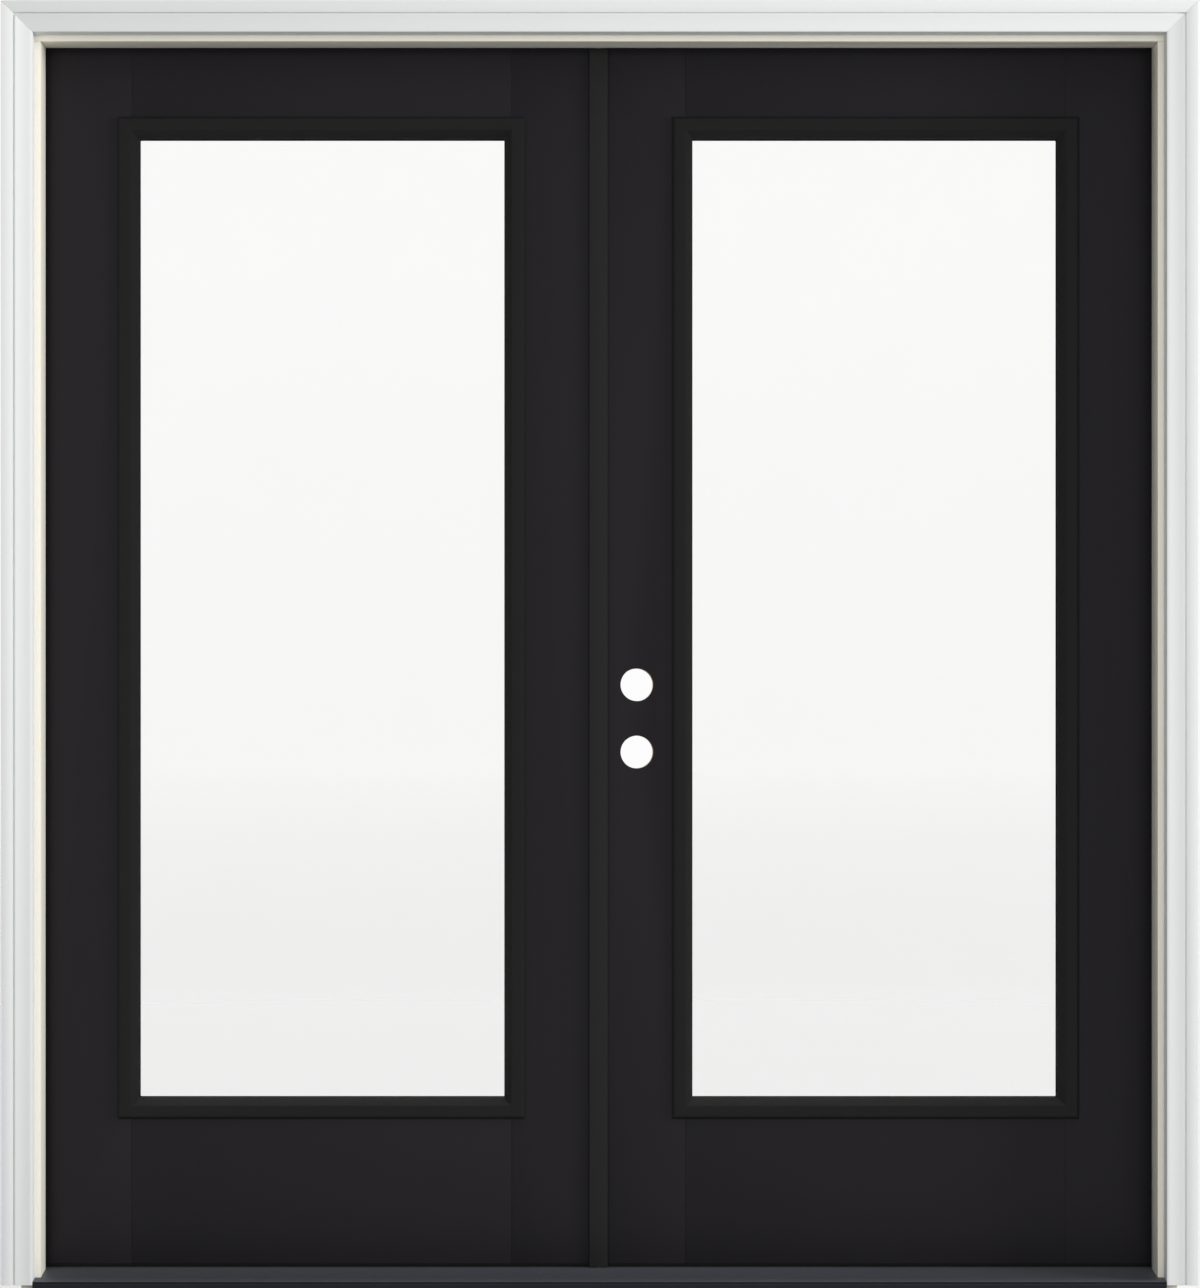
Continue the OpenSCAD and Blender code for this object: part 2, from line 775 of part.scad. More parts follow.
module lock_bores() {
    for (z = bore_heights) {
        rod_y([bore_x, outer_y - over, z], lock_bore_d / 2, leaf_t + 2 * over);
    }
}

// One face of a leaf, with its joint lines on the given side
module skin(y0, line_y) {
    color(black_paint) difference() {
        block([edge_x, y0, leaf_lift], [leaf_x, y0 + skin_t, leaf_top]);
        lite_cutout(y0 - over, y0 + skin_t + over);
        for (x = [edge_x + lock_joint_x, leaf_x - hinge_joint_x]) {
            block([x - joint_line_w / 2, line_y - joint_line_d, leaf_lift - over],
                [x + joint_line_w / 2, line_y + joint_line_d, leaf_top + over]);
        }
        children();
    }
}

module outer_skin() {
    skin(outer_y, outer_y) children();
}

module inner_skin() {
    skin(inner_y - skin_t, inner_y) {
        hinge_recess(leaf_x - hinge_plate_t, leaf_x + over);
        children();
    }
}

module hinge_stile() {
    color(wood) difference() {
        block([leaf_x - hinge_stile_w, outer_y + skin_t, leaf_lift], [leaf_x, inner_y - skin_t, leaf_top]);
        hinge_recess(leaf_x - hinge_plate_t, leaf_x + over);
        leaf_hinge_screws(screw_clear);
    }
}

module lock_stile_blank() {
    block([edge_x, outer_y + skin_t, leaf_lift], [edge_x + lock_stile_w, inner_y - skin_t, leaf_top]);
}

module rail(z0, z1) {
    color(wood) block([edge_x + lock_stile_w, outer_y + skin_t, z0],
        [leaf_x - hinge_stile_w, inner_y - skin_t, z1]);
}

module top_rail() {
    rail(leaf_top - top_rail_h, leaf_top);
}

module bottom_rail() {
    rail(leaf_lift, leaf_lift + bottom_rail_h);
}

module core() {
    color(foam) difference() {
        block([edge_x + lock_stile_w, outer_y + skin_t, leaf_lift + bottom_rail_h],
            [leaf_x - hinge_stile_w, inner_y - skin_t, leaf_top - top_rail_h]);
        lite_cutout(outer_y, inner_y);
    }
}

module outer_lite_frame() {
    color(black_paint) difference() {
        translate(lite_mid) ring(lite_w, lite_h, lite_profile);
        lite_screws(screw_clear);
    }
}

module inner_lite_frame() {
    color(black_paint) difference() {
        translate([0, 2 * mid_y, 0]) mirror([0, 1, 0]) translate(lite_mid) ring(lite_w, lite_h, lite_profile);
        lite_screws(screw_clear);
    }
}

module pane(y0) {
    color(glass) block([lite_x0 - glass_bite, y0, lite_z0 - glass_bite],
        [lite_x1 + glass_bite, y0 + pane_t, lite_z1 + glass_bite]);
}

module outer_pane() {
    pane(glass_y);
}

module inner_pane() {
    pane(glass_y + pane_t + air_space);
}

module glass_spacer() {
    y0 = glass_y + pane_t;
    y1 = y0 + air_space;
    color(hinge_metal) difference() {
        block([lite_x0 - spacer_out, y0, lite_z0 - spacer_out],
            [lite_x1 + spacer_out, y1, lite_z1 + spacer_out]);
        block([lite_x0 - spacer_in, y0 - over, lite_z0 - spacer_in],
            [lite_x1 + spacer_in, y1 + over, lite_z1 + spacer_in]);
    }
}

// Sweep: a base strip under the leaf with fins that reach almost to the threshold
module door_sweep() {
    bottom = cap_top + sweep_gap;
    shelf = leaf_lift - sweep_base_t;
    y0 = outer_y + skin_t;
    y1 = inner_y - skin_t;
    pitch = (y1 - y0 - sweep_fin_t) / (sweep_fins - 1);
    color(rubber) difference() {
        block([edge_x + end_gap, y0, bottom], [leaf_x - end_gap, y1, leaf_lift]);
        for (i = [0 : sweep_fins - 2]) {
            block([edge_x, y0 + i * pitch + sweep_fin_t, bottom - over],
                [leaf_x, y0 + (i + 1) * pitch, shelf]);
        }
        children();
    }
}

module door_hinge_screws() {
    color(hinge_metal) leaf_hinge_screws();
}

module lite_screw_set() {
    color(hinge_metal) lite_screws();
}

// ---------- Leaf on the -X side ----------

module left_outer_skin() {
    on_left() outer_skin();
}

module left_inner_skin() {
    on_left() inner_skin();
}

module left_hinge_stile() {
    on_left() hinge_stile();
}

module left_meeting_stile() {
    pocket_y = slider_w / 2 + slider_clear;
    color(wood) difference() {
        on_left() lock_stile_blank();
        edge_plate_screws(screw_clear);
        astragal_screws(screw_clear);
        for (z = bore_heights) {
            edge_recess(strike_w, z - strike_h / 2, z + strike_h / 2);
            block([-edge_x - plate_t - strike_hole_d, mid_y - strike_hole_w / 2, z - strike_hole_h / 2],
                [-edge_x, mid_y + strike_hole_w / 2, z + strike_hole_h / 2]);
        }
        for (end = [0, 1]) {
            at_leaf_end(end) {
                edge_recess(bolt_plate_w, bolt_plate_end, bolt_plate_in);
                block([pocket_back, mid_y - pocket_y, slider_low - slider_clear - bolt_throw],
                    [-edge_x, mid_y + pocket_y, slider_low + slider_h + slider_clear]);
                rod_z([bolt_x, mid_y, -over], bolt_r + bolt_clear, slider_low);
            }
        }
    }
}

// Shapes drawn upward from a leaf's end: end 0 is the bottom, end 1 is the top turned over
module at_leaf_end(end) {
    if (end == 0) translate([0, 0, leaf_lift]) children();
    else translate([0, 0, leaf_top]) mirror([0, 0, 1]) children();
}

module edge_recess(w, low, high) {
    block([-edge_x - plate_t, mid_y - w / 2, low], [-edge_x + over, mid_y + w / 2, high]);
}

module left_top_rail() {
    on_left() top_rail();
}

module left_bottom_rail() {
    on_left() bottom_rail();
}

module left_core() {
    on_left() core();
}

module left_outer_lite_frame() {
    on_left() outer_lite_frame();
}

module left_inner_lite_frame() {
    on_left() inner_lite_frame();
}

module left_outer_pane() {
    on_left() outer_pane();
}

module left_inner_pane() {
    on_left() inner_pane();
}

module left_glass_spacer() {
    on_left() glass_spacer();
}

module left_door_sweep() {
    on_left() door_sweep() rod_z([-bolt_x, mid_y, 0], sweep_hole_r, leaf_lift + over);
}

module left_door_hinge_leaves() {
    on_left() door_hinge_leaves();
}

module left_door_hinge_screws() {
    on_left() door_hinge_screws();
}

module left_lite_screws() {
    on_left() lite_screw_set();
}

// Astragal: a face over the gap, a spacer on the leaf's face and a leg along its edge
module astragal() {
    front = outer_y - astragal_space - astragal_t;
    back = front + astragal_t;
    leg_x = astragal_leg_t - edge_x;
    section = [[-astragal_half_w, front], [astragal_half_w, front], [astragal_half_w, back], [leg_x, back],
        [leg_x, outer_y + astragal_leg_d], [-edge_x, outer_y + astragal_leg_d], [-edge_x, outer_y],
        [-astragal_half_w, outer_y]];
    color(black_metal) difference() {
        bar_z(section, deck_rear_h + end_gap, stop_z + end_gap);
        astragal_screws(screw_clear);
    }
}

module astragal_seal() {
    back = outer_y - astragal_space;
    color(rubber) block([edge_x + end_gap, back, deck_rear_h + 2 * end_gap],
        [astragal_half_w - end_gap, outer_y - slip, stop_z]);
}

module left_edge_screws() {
    color(hinge_metal) {
        edge_plate_screws();
        astragal_screws();
    }
}

module strike_plates() {
    color(hinge_metal) for (z = bore_heights) {
        difference() {
            block([-edge_x - plate_t, mid_y - strike_w / 2, z - strike_h / 2],
                [-edge_x, mid_y + strike_w / 2, z + strike_h / 2]);
            block([-edge_x - plate_t - over, mid_y - strike_hole_w / 2, z - strike_hole_h / 2],
                [-edge_x + over, mid_y + strike_hole_w / 2, z + strike_hole_h / 2]);
            edge_plate_screws(screw_clear);
        }
    }
}

module flush_bolt_plates() {
    slot_w = knob_w + 2 * slider_clear;
    knob_low = slider_low + (slider_h - knob_h) / 2;
    color(hinge_metal) for (end = [0, 1]) {
        difference() {
            at_leaf_end(end) difference() {
                block([-edge_x - plate_t, mid_y - bolt_plate_w / 2, bolt_plate_end],
                    [-edge_x, mid_y + bolt_plate_w / 2, bolt_plate_in]);
                block([-edge_x - plate_t - over, mid_y - slot_w / 2, knob_low - slider_clear - bolt_throw],
                    [-edge_x + over, mid_y + slot_w / 2, knob_low + knob_h + slider_clear]);
            }
            edge_plate_screws(screw_clear);
        }
    }
}

// Flush bolt drawn for a leaf's bottom end, withdrawn: rod, slider and thumb knob in one
module flush_bolt() {
    half = slider_w / 2;
    knob_low = slider_low + (slider_h - knob_h) / 2;
    plate_back = -edge_x - plate_t;
    color(hinge_metal) union() {
        rod_z([bolt_x, mid_y, bolt_rest], bolt_r, slider_low - bolt_rest + slider_h / 2);
        block([bolt_x - half, mid_y - half, slider_low], [plate_back - slider_clear, mid_y + half,
            slider_low + slider_h]);
        block([plate_back - over, mid_y - knob_w / 2, knob_low],
            [knob_proud - edge_x, mid_y + knob_w / 2, knob_low + knob_h]);
    }
}

module top_flush_bolt() {
    at_leaf_end(1) flush_bolt();
}

module bottom_flush_bolt() {
    at_leaf_end(0) flush_bolt();
}

// ---------- Leaf on the +X side ----------

module right_outer_skin() {
    outer_skin() lock_bores();
}

module right_inner_skin() {
    inner_skin() lock_bores();
}

module right_hinge_stile() {
    hinge_stile();
}

module right_lock_stile() {
    color(wood) difference() {
        lock_stile_blank();
        lock_bores();
        for (z = bore_heights) {
            rod_x([edge_x - over, mid_y, z], edge_bore_d / 2, backset);
            block([edge_x - over, mid_y - faceplate_w / 2, z - faceplate_h / 2],
                [edge_x + faceplate_d, mid_y + faceplate_w / 2, z + faceplate_h / 2]);
        }
    }
}

module right_top_rail() {
    top_rail();
}

module right_bottom_rail() {
    bottom_rail();
}

module right_core() {
    core();
}

module right_outer_lite_frame() {
    outer_lite_frame();
}

module right_inner_lite_frame() {
    inner_lite_frame();
}

module right_outer_pane() {
    outer_pane();
}

module right_inner_pane() {
    inner_pane();
}

module right_glass_spacer() {
    glass_spacer();
}

module right_door_sweep() {
    door_sweep();
}

module right_door_hinge_leaves() {
    door_hinge_leaves();
}

module right_door_hinge_screws() {
    door_hinge_screws();
}

module right_lite_screws() {
    lite_screw_set();
}

left_jamb();
right_jamb();
head_jamb();
left_brickmould();
right_brickmould();
head_brickmould();
left_weatherstrip();
right_weatherstrip();
head_weatherstrip();
sill_base();
sill_deck();
threshold_cap();
corner_pads();
frame_screws();
bolt_strikes();
left_frame_hinge_leaves();
right_frame_hinge_leaves();
left_hinge_pins();
right_hinge_pins();
frame_hinge_screws();
left_outer_skin();
left_inner_skin();
left_hinge_stile();
left_meeting_stile();
left_top_rail();
left_bottom_rail();
left_core();
left_outer_lite_frame();
left_inner_lite_frame();
left_outer_pane();
left_inner_pane();
left_glass_spacer();
left_door_sweep();
left_door_hinge_leaves();
left_door_hinge_screws();
left_lite_screws();
astragal();
astragal_seal();
left_edge_screws();
strike_plates();
flush_bolt_plates();
top_flush_bolt();
bottom_flush_bolt();
right_outer_skin();
right_inner_skin();
right_hinge_stile();
right_lock_stile();
right_top_rail();
right_bottom_rail();
right_core();
right_outer_lite_frame();
right_inner_lite_frame();
right_outer_pane();
right_inner_pane();
right_glass_spacer();
right_door_sweep();
right_door_hinge_leaves();
right_door_hinge_screws();
right_lite_screws();
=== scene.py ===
"""French doors hung in their frame: the shaped pieces, their finishes and the studio round them."""
import json
import math
from contextlib import contextmanager

import bmesh
import bpy
from bpy.props import FloatProperty, FloatVectorProperty, PointerProperty
from mathutils import Matrix, Vector

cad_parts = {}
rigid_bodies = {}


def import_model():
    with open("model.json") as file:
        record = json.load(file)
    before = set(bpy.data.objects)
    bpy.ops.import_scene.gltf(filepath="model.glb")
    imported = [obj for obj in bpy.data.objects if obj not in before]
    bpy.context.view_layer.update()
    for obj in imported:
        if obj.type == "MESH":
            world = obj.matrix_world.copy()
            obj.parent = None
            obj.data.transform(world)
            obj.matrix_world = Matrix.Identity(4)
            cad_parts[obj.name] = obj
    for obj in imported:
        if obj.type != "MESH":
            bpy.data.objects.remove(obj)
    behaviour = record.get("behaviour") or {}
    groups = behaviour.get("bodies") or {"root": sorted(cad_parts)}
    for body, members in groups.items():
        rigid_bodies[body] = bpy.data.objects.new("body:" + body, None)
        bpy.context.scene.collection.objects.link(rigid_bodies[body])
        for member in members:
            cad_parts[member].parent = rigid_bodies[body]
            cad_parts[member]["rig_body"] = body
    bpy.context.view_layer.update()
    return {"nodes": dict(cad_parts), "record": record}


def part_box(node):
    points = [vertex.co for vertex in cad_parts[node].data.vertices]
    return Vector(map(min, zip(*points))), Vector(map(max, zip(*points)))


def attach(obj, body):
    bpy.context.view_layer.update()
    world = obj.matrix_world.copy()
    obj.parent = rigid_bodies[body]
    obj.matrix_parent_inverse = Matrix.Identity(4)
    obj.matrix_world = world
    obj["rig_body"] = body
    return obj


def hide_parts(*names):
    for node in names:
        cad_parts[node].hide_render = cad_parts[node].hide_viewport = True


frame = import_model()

bl_info = {
    "name": "French doors",
    "version": (1, 0, 0),
    "blender": (4, 5, 0),
    "location": "3D View > Sidebar > French doors",
    "description": "Models and finishes a pair of full-glass french doors in their frame",
    "category": "Object",
}

MM = 0.001
SLOT_OF = {part["node"]: part["material_slot"] for part in frame["record"]["subparts"]}
SIDES = ("left", "right")
OUTWARD = {"left": -1, "right": 1}
AXES = X, Y, Z = Vector((1, 0, 0)), Vector((0, 1, 0)), Vector((0, 0, 1))
QUARTER_TURN = math.pi / 2

# Shading breaks at edges sharper than SHARP, faces flatter than FLAT become one, and corners closer
# than WELD become one.
SHARP = math.radians(35)
FLAT = math.radians(0.5)
WELD = 0.002 * MM

# Brickmould and weatherstrips
HOLLOW_STEPS = 14
KERF_W, KERF_SLIP = 3 * MM, 0.3 * MM
STEM_HALF_W = 1.1 * MM
BARBS, BARB_REACH, BARB_PITCH = 3, 0.35 * MM, 2.6 * MM
BARB_FIRST, BARB_TIP, BARB_H = 1.4 * MM, 0.2 * MM, 1.1 * MM
FOLD_DEG, FOLD_HALF_DEG, FOLD_SHARE = 70, 7, 0.86
BULB_STEPS = 14
PAD_MARGIN, PAD_DENT, PAD_EASE = 2 * MM, 0.8 * MM, 0.7 * MM

# Glazing
LITE_FACE_W, LITE_LIP = 34 * MM, 2.6 * MM
WEB_IN, WEB_OUT = 13.5 * MM, 19.5 * MM
SPACER_W, SPACER_CORNER, SPACER_EASE = 8 * MM, 2.8 * MM, 0.2 * MM

# Sweeps and the astragal's seal
SWEEP_BASE_T, FIN_T, FINS = 1.4 * MM, 2.5 * MM, 5
BOLT_HOLE_R = 5.35 * MM
SEAL_WEB_T, SEAL_BULBS, BULB_SHARE, SEAL_STEPS = 1.2 * MM, 3, 0.38, 8

# Screws: the thread's points are shares of its pitch
HEAD_R, HEAD_H, HEAD_RIM, HEAD_DROP = 4 * MM, 2.2 * MM, 0.3 * MM, 0.25 * MM
SHANK_R, ROOT_R, POINT_L, TIP_R = 2 * MM, 1.55 * MM, 4 * MM, 0.3 * MM
ROOT_START, ROOT_END, CREST = 0.3, 0.6, 0.85
RECESS_W, RECESS_T, RECESS_D = 2.3 * MM, 0.45 * MM, 1.3 * MM
SEAT_SLACK = 0.1 * MM

# Hinge pins
PIN_R, PIN_FOOT, PIN_CHAMFER = 4 * MM, 0.4 * MM, 1 * MM
PIN_HEAD_H, PIN_RIM_H = 2.5 * MM, 0.8 * MM

# Studio: the place, width and height of each lamp, and the point that they face
FRONT_LAMP = (0, -7, 2), (7, 2.5)
SIDE_LAMP = (16.5, -4.5, 3.5), (5, 4)
LAMP_AIM = (0, 0, 1)
SENSOR_W_MM = 36


def shade(red, green, blue):
    """A colour given in screen values from 0 to 255, as Blender's linear numbers."""
    return tuple(((c / 255 + 0.055) / 1.055) ** 2.4 if c > 10 else c / 3294.6
                 for c in (red, green, blue))


def length(name, description, millimetres, smallest=0.0):
    return FloatProperty(name=name, description=description, default=millimetres * MM,
                         min=smallest * MM, unit="LENGTH", precision=5)


def number(name, description, value, **more):
    return FloatProperty(name=name, description=description, default=value, **more)


def colour(name, description, *screen):
    return FloatVectorProperty(name=name, description=description, default=shade(*screen),
                               size=3, min=0.0, max=1.0, subtype="COLOR")


# ---------- What a user may change ----------


class DoorSizes(bpy.types.PropertyGroup):
    jamb_ease: length("Jamb edge", "Easing on the edges of the jambs", 1.0)
    wood_ease: length("Wood edge", "Easing on the edges of stiles, rails and sill", 0.6)
    metal_ease: length("Metal edge", "Easing on the edges of hinges, plates and bolts", 0.3)
    skin_ease: length("Face edge", "Easing on the edges of the leaves' faces", 0.35)
    mould_ease: length("Brickmould edge", "Easing on the edges of the brickmould", 0.7)
    mould_nosing: length("Brickmould nosing", "Flat lip beside the doorway", 4)
    mould_hollow: length("Brickmould hollow", "Depth of the hollowed field", 0.7)
    mould_band: length("Brickmould band", "Width of the flat band along the outer edge", 19.4)
    mould_groove: length("Brickmould groove", "Width of the groove beside the band", 3)
    mould_groove_depth: length("Groove depth", "Depth of that groove", 4.5)
    lite_round: length("Glazing edge", "Rounding of the glazing frame's front edges", 1.1)
    lite_bevel: length("Glazing bevel", "Width of the bevel beside the glass", 12)
    lite_chamfer: length("Glazing chamfer", "Chamfer on the glazing frame's outer edge", 4.5)
    glass_arris: length("Glass arris", "Ground edge of a pane", 0.4)
    fin_tip: length("Sweep fin tip", "Width of a sweep fin at its tip", 1.2)
    screw_pitch: length("Screw pitch", "Distance between two turns of thread", 2.4, 0.5)


class DoorFinishes(bpy.types.PropertyGroup):
    paint: colour("Leaf paint", "Satin black of the leaves' faces", 33, 31, 34)
    moulding: colour("Glazing frame", "Moulded black of the glazing frames", 29.5, 29.5, 29.5)
    astragal: colour("Astragal", "Coated metal of the astragal", 34, 34, 34)
    cream: colour("Jambs", "Cream vinyl of the jambs", 238, 234, 221)
    white: colour("Brickmould", "White of the brickmould", 231, 233, 232)
    slate: colour("Sill", "Dark anodised metal of the sill", 32, 35, 40)
    # Lighter tint that the sill's upward faces take: painted light from above.
    sill_top_painted_light: colour("Sill tread", "The sill's metal where shoes have dulled its top", 80, 83, 89)
    substrate: colour("Sill base", "Composite under the sill's metal", 112, 108, 102)
    rubber: colour("Rubber", "Weatherstrips, sweeps and pads", 24, 24, 24)
    pine_light: colour("Wood, light", "Early wood of the stiles and rails", 214, 180, 134)
    pine_dark: colour("Wood, dark", "Late wood of the stiles and rails", 176, 130, 82)
    foam: colour("Foam", "Foam inside the leaves", 232, 220, 182)
    nickel: colour("Hinge metal", "Satin nickel of hinges, strikes and bolts", 200, 195, 186)
    zinc: colour("Screw metal", "Zinc plating of the screws", 206, 205, 200)
    spacer: colour("Glass spacer", "Aluminium between the panes", 196, 197, 198)
    glass_tint: colour("Glass", "Tint of the light that passes a pane", 254.6, 254.6, 254.4)


class DoorStudio(bpy.types.PropertyGroup):
    distance: number("Camera distance", "From the wall line to the camera", 5.988, unit="LENGTH")
    across: number("Camera offset", "Camera's place right of the middle", -0.106, unit="LENGTH")
    eye: number("Camera height", "Height of the camera", 0.9033, unit="LENGTH")
    lens: number("Focal length", "Of the camera's lens, in millimetres", 101.98)
    shift: FloatVectorProperty(name="Shift", description="Camera shift across and up", size=2,
                               default=(0.0512, 0.0707))
    room: number("Room light", "Strength of the light from all round", 0.15)
    ceiling: number("Ceiling light", "Extra strength straight above", 0.92)
    rear: number("Rear light", "Extra strength straight from behind", 0.25)
    backdrop: number("Backdrop", "Brightness of the background at eye level", 0.975)
    front: number("Front light", "Power of the wide soft light in front", 255, unit="POWER")
    side: number("Side light", "Power of the soft light on the right", 2100, unit="POWER")
    floor_body: number("Floor body", "How solid the pale floor is under the doors", 0.38,
                       min=0.0, max=1.0, subtype="FACTOR")
    floor_radius: number("Floor", "Radius at which the pale floor has faded out", 90, unit="LENGTH")
    floor_thin: number("Floor thinning", "Distance that halves how solid the floor is", 20,
                       unit="LENGTH")


def sizes():
    return bpy.context.scene.door_sizes


def finishes():
    return bpy.context.scene.door_finishes


def studio():
    return bpy.context.scene.door_studio


# ---------- Shader maths and finishes ----------


class Wire:
    """An output socket. Sums, products and comparisons of wires add Math nodes."""

    def __init__(self, recipe, socket):
        self.recipe = recipe
        self.socket = socket

    def __add__(self, other):
        return self.recipe.maths("ADD", self, other)

    def __sub__(self, other):
        return self.recipe.maths("SUBTRACT", self, other)

    def __rsub__(self, other):
        return self.recipe.maths("SUBTRACT", other, self)

    def __mul__(self, other):
        return self.recipe.maths("MULTIPLY", self, other)

    def __truediv__(self, other):
        return self.recipe.maths("DIVIDE", self, other)

    def __gt__(self, other):
        return self.recipe.maths("GREATER_THAN", self, other)

    def __lt__(self, other):
        return self.recipe.maths("LESS_THAN", self, other)

    __radd__ = __add__
    __rmul__ = __mul__

    def clamped(self):
        return self.recipe.maths("MINIMUM", self.recipe.maths("MAXIMUM", self, 0.0), 1.0)


class Recipe:
    """A node tree being filled in, one node at a time."""

    def __init__(self, tree):
        self.tree = tree
        tree.nodes.clear()

    def node(self, kind, settings=None, inputs=None, output=0):
        """Adds a node: its settings first, then the values or wires of its sockets."""
        made = self.tree.nodes.new(kind)
        for key, value in (settings or {}).items():
            if key == "stops":
                while len(made.color_ramp.elements) < len(value):
                    made.color_ramp.elements.new(1.0)
                for element, (place, tone) in zip(made.color_ramp.elements, value):
                    element.position = place
                    element.color = (tone, tone, tone, 1.0)
            else:
                setattr(made, key, value)
        for key, value in (inputs or {}).items():
            socket = made.inputs[key]
            if isinstance(value, Wire):
                self.tree.links.new(value.socket, socket)
            elif socket.type == "RGBA" and len(value) == 3:
                socket.default_value = (*value, 1.0)
            else:
                socket.default_value = value
        return Wire(self, made.outputs[output])

    def maths(self, operation, *values):
        return self.node("ShaderNodeMath", {"operation": operation}, dict(enumerate(values)))

    def place(self):
        """Where a point lies on the piece, in metres."""
        return self.node("ShaderNodeTexCoord", output="Object")

    def stretched(self, vector, scale):
        return self.node("ShaderNodeMapping", {"vector_type": "POINT"},
                         {"Vector": vector, "Scale": scale})

    def part_of(self, vector, axis):
        return self.node("ShaderNodeSeparateXYZ", None, {0: vector}, axis)

    def noise(self, vector, scale, detail=2.0, roughness=0.5):
        return self.node("ShaderNodeTexNoise", None, {
            "Vector": vector, "Scale": scale, "Detail": detail, "Roughness": roughness})

    def cells(self, vector, scale, feature="F1"):
        return self.node("ShaderNodeTexVoronoi", {"feature": feature},
                         {"Vector": vector, "Scale": scale})

    def ramp(self, value, *stops):
        return self.node("ShaderNodeValToRGB", {"stops": stops}, {0: value})

    def blend(self, share, first, second):
        return self.node("ShaderNodeMix", {"data_type": "RGBA"}, {0: share, 6: first, 7: second}, 2)

    def scaled(self, tint, value):
        return self.node("ShaderNodeVectorMath", {"operation": "SCALE"}, {0: tint, "Scale": value})

    def bump(self, height, depth):
        return self.node("ShaderNodeBump", None, {"Height": height, "Distance": depth})


def output_to(recipe, surface, kind="ShaderNodeOutputMaterial"):
    """Sends a surface to the tree's output."""
    end = recipe.tree.nodes.new(kind)
    recipe.tree.links.new(surface.socket, end.inputs["Surface"])


def start(name):
    """A new material and the recipe that fills it in."""
    made = bpy.data.materials.new(name)
    made.use_nodes = True
    return made, Recipe(made.node_tree)


def close(made, recipe, sockets):
    """Ends a material with one Principled shader that has these sockets."""
    output_to(recipe, recipe.node("ShaderNodeBsdfPrincipled", None, sockets))
    return made


# How a texture is drawn out along X or Z
ALONG = {"X": (0.05, 1, 1), "Z": (1, 1, 0.05)}


def painted_face(along):
    """Satin paint sprayed on a smooth skin: fine orange peel, faint drift and lengthwise lines."""
    made, mix = start("satin_black_paint")
    place = mix.place()
    drift = mix.noise(place, 2.5, 2)
    peel = mix.noise(place, 620, 2)
    drawn = mix.noise(mix.stretched(place, ALONG[along]), 240, 3)
    tone = 0.93 + 0.08 * drift + 0.05 * drawn + 0.03 * peel
    return close(made, mix, {
        "Base Color": mix.scaled(finishes().paint, tone),
        "Roughness": 0.4 + 0.08 * drift + 0.06 * peel,
        "Specular IOR Level": 0.2,
        "Normal": mix.bump(0.7 * peel + 0.3 * drawn, 0.03 * MM)})


def moulded_black(along):
    """Injection-moulded frame with a fine leathery texture."""
    made, mix = start("moulded_black")
    place = mix.place()
    pebbles = mix.cells(place, 900, "SMOOTH_F1")
    grain = mix.noise(place, 1500, 2)
    drift = mix.noise(place, 4, 2)
    return close(made, mix, {
        "Base Color": mix.scaled(finishes().moulding, 0.92 + 0.1 * drift + 0.08 * grain),
        "Roughness": 0.42 + 0.12 * pebbles,
        "Specular IOR Level": 0.2,
        "Normal": mix.bump(0.6 * pebbles + 0.4 * grain, 0.05 * MM)})


def coated_metal(along):
    """Coated extrusion with die lines along its length."""
    made, mix = start("coated_black_metal")
    place = mix.place()
    lines = mix.noise(mix.stretched(place, (1, 1, 0.004)), 1400, 2)
    speckle = mix.noise(place, 1100, 1)
    return close(made, mix, {
        "Base Color": mix.scaled(finishes().astragal, 0.9 + 0.12 * lines + 0.08 * speckle),
        "Roughness": 0.34 + 0.12 * lines,
        "Specular IOR Level": 0.25,
        "Normal": mix.bump(0.6 * lines + 0.4 * speckle, 0.03 * MM)})


def cream_vinyl(along):
    """Vinyl wrap with a shallow wood emboss along the board and a little handling dust."""
    made, mix = start("cream_vinyl_" + along)
    place = mix.place()
    emboss = mix.noise(mix.stretched(place, ALONG[along]), 420, 4, 0.6)
    pores = mix.noise(mix.stretched(place, ALONG[along]), 1500, 1)
    drift = mix.noise(place, 3, 3)
    tone = 0.955 + 0.05 * drift + 0.02 * emboss
    return close(made, mix, {
        "Base Color": mix.scaled(finishes().cream, tone),
        "Roughness": 0.44 + 0.12 * emboss,
        "Specular IOR Level": 0.35,
        "Normal": mix.bump(0.7 * emboss + 0.3 * pores, 0.05 * MM)})


def white_mould(along):
    """Primed moulding with planer lines along its length."""
    made, mix = start("white_moulding_" + along)
    place = mix.place()
    lines = mix.noise(mix.stretched(place, ALONG[along]), 700, 3)
    drift = mix.noise(place, 2.4, 3)
    return close(made, mix, {
        "Base Color": mix.scaled(finishes().white, 0.96 + 0.03 * drift + 0.02 * lines),
        "Roughness": 0.46 + 0.1 * lines,
        "Specular IOR Level": 0.35,
        "Normal": mix.bump(lines, 0.03 * MM)})


def slate_metal(along):
    """Dark anodised sill, drawn lengthwise, lightly scuffed where feet cross it, and painted
    lighter on every face that points up as painted light from above.
    """
    made, mix = start("slate_aluminium")
    place = mix.place()
    drawn = mix.noise(mix.stretched(place, (0.01, 1, 1)), 900, 3)
    drift = mix.noise(place, 5, 3)
    tracks = mix.noise(mix.stretched(place, (1, 0.25, 1)), 60, 4, 0.7)
    scuff = mix.ramp(tracks, (0.6, 0.0), (0.75, 1.0))
    tone = 0.86 + 0.14 * drawn + 0.1 * drift + 0.12 * scuff
    facing_up = mix.part_of(mix.node("ShaderNodeNewGeometry", output="Normal"), 2)
    # Faces that point up are blended to the lighter tint: painted light from above.
    painted_top_light = ((facing_up - 0.5) * 2.5).clamped()
    return close(made, mix, {
        "Base Color": mix.scaled(mix.blend(painted_top_light, finishes().slate, finishes().sill_top_painted_light), tone),
        "Metallic": 0.12,
        "Roughness": 0.46 + 0.1 * drawn - 0.06 * scuff,
        "Specular IOR Level": 0.25,
        "Normal": mix.bump(drawn, 0.03 * MM)})


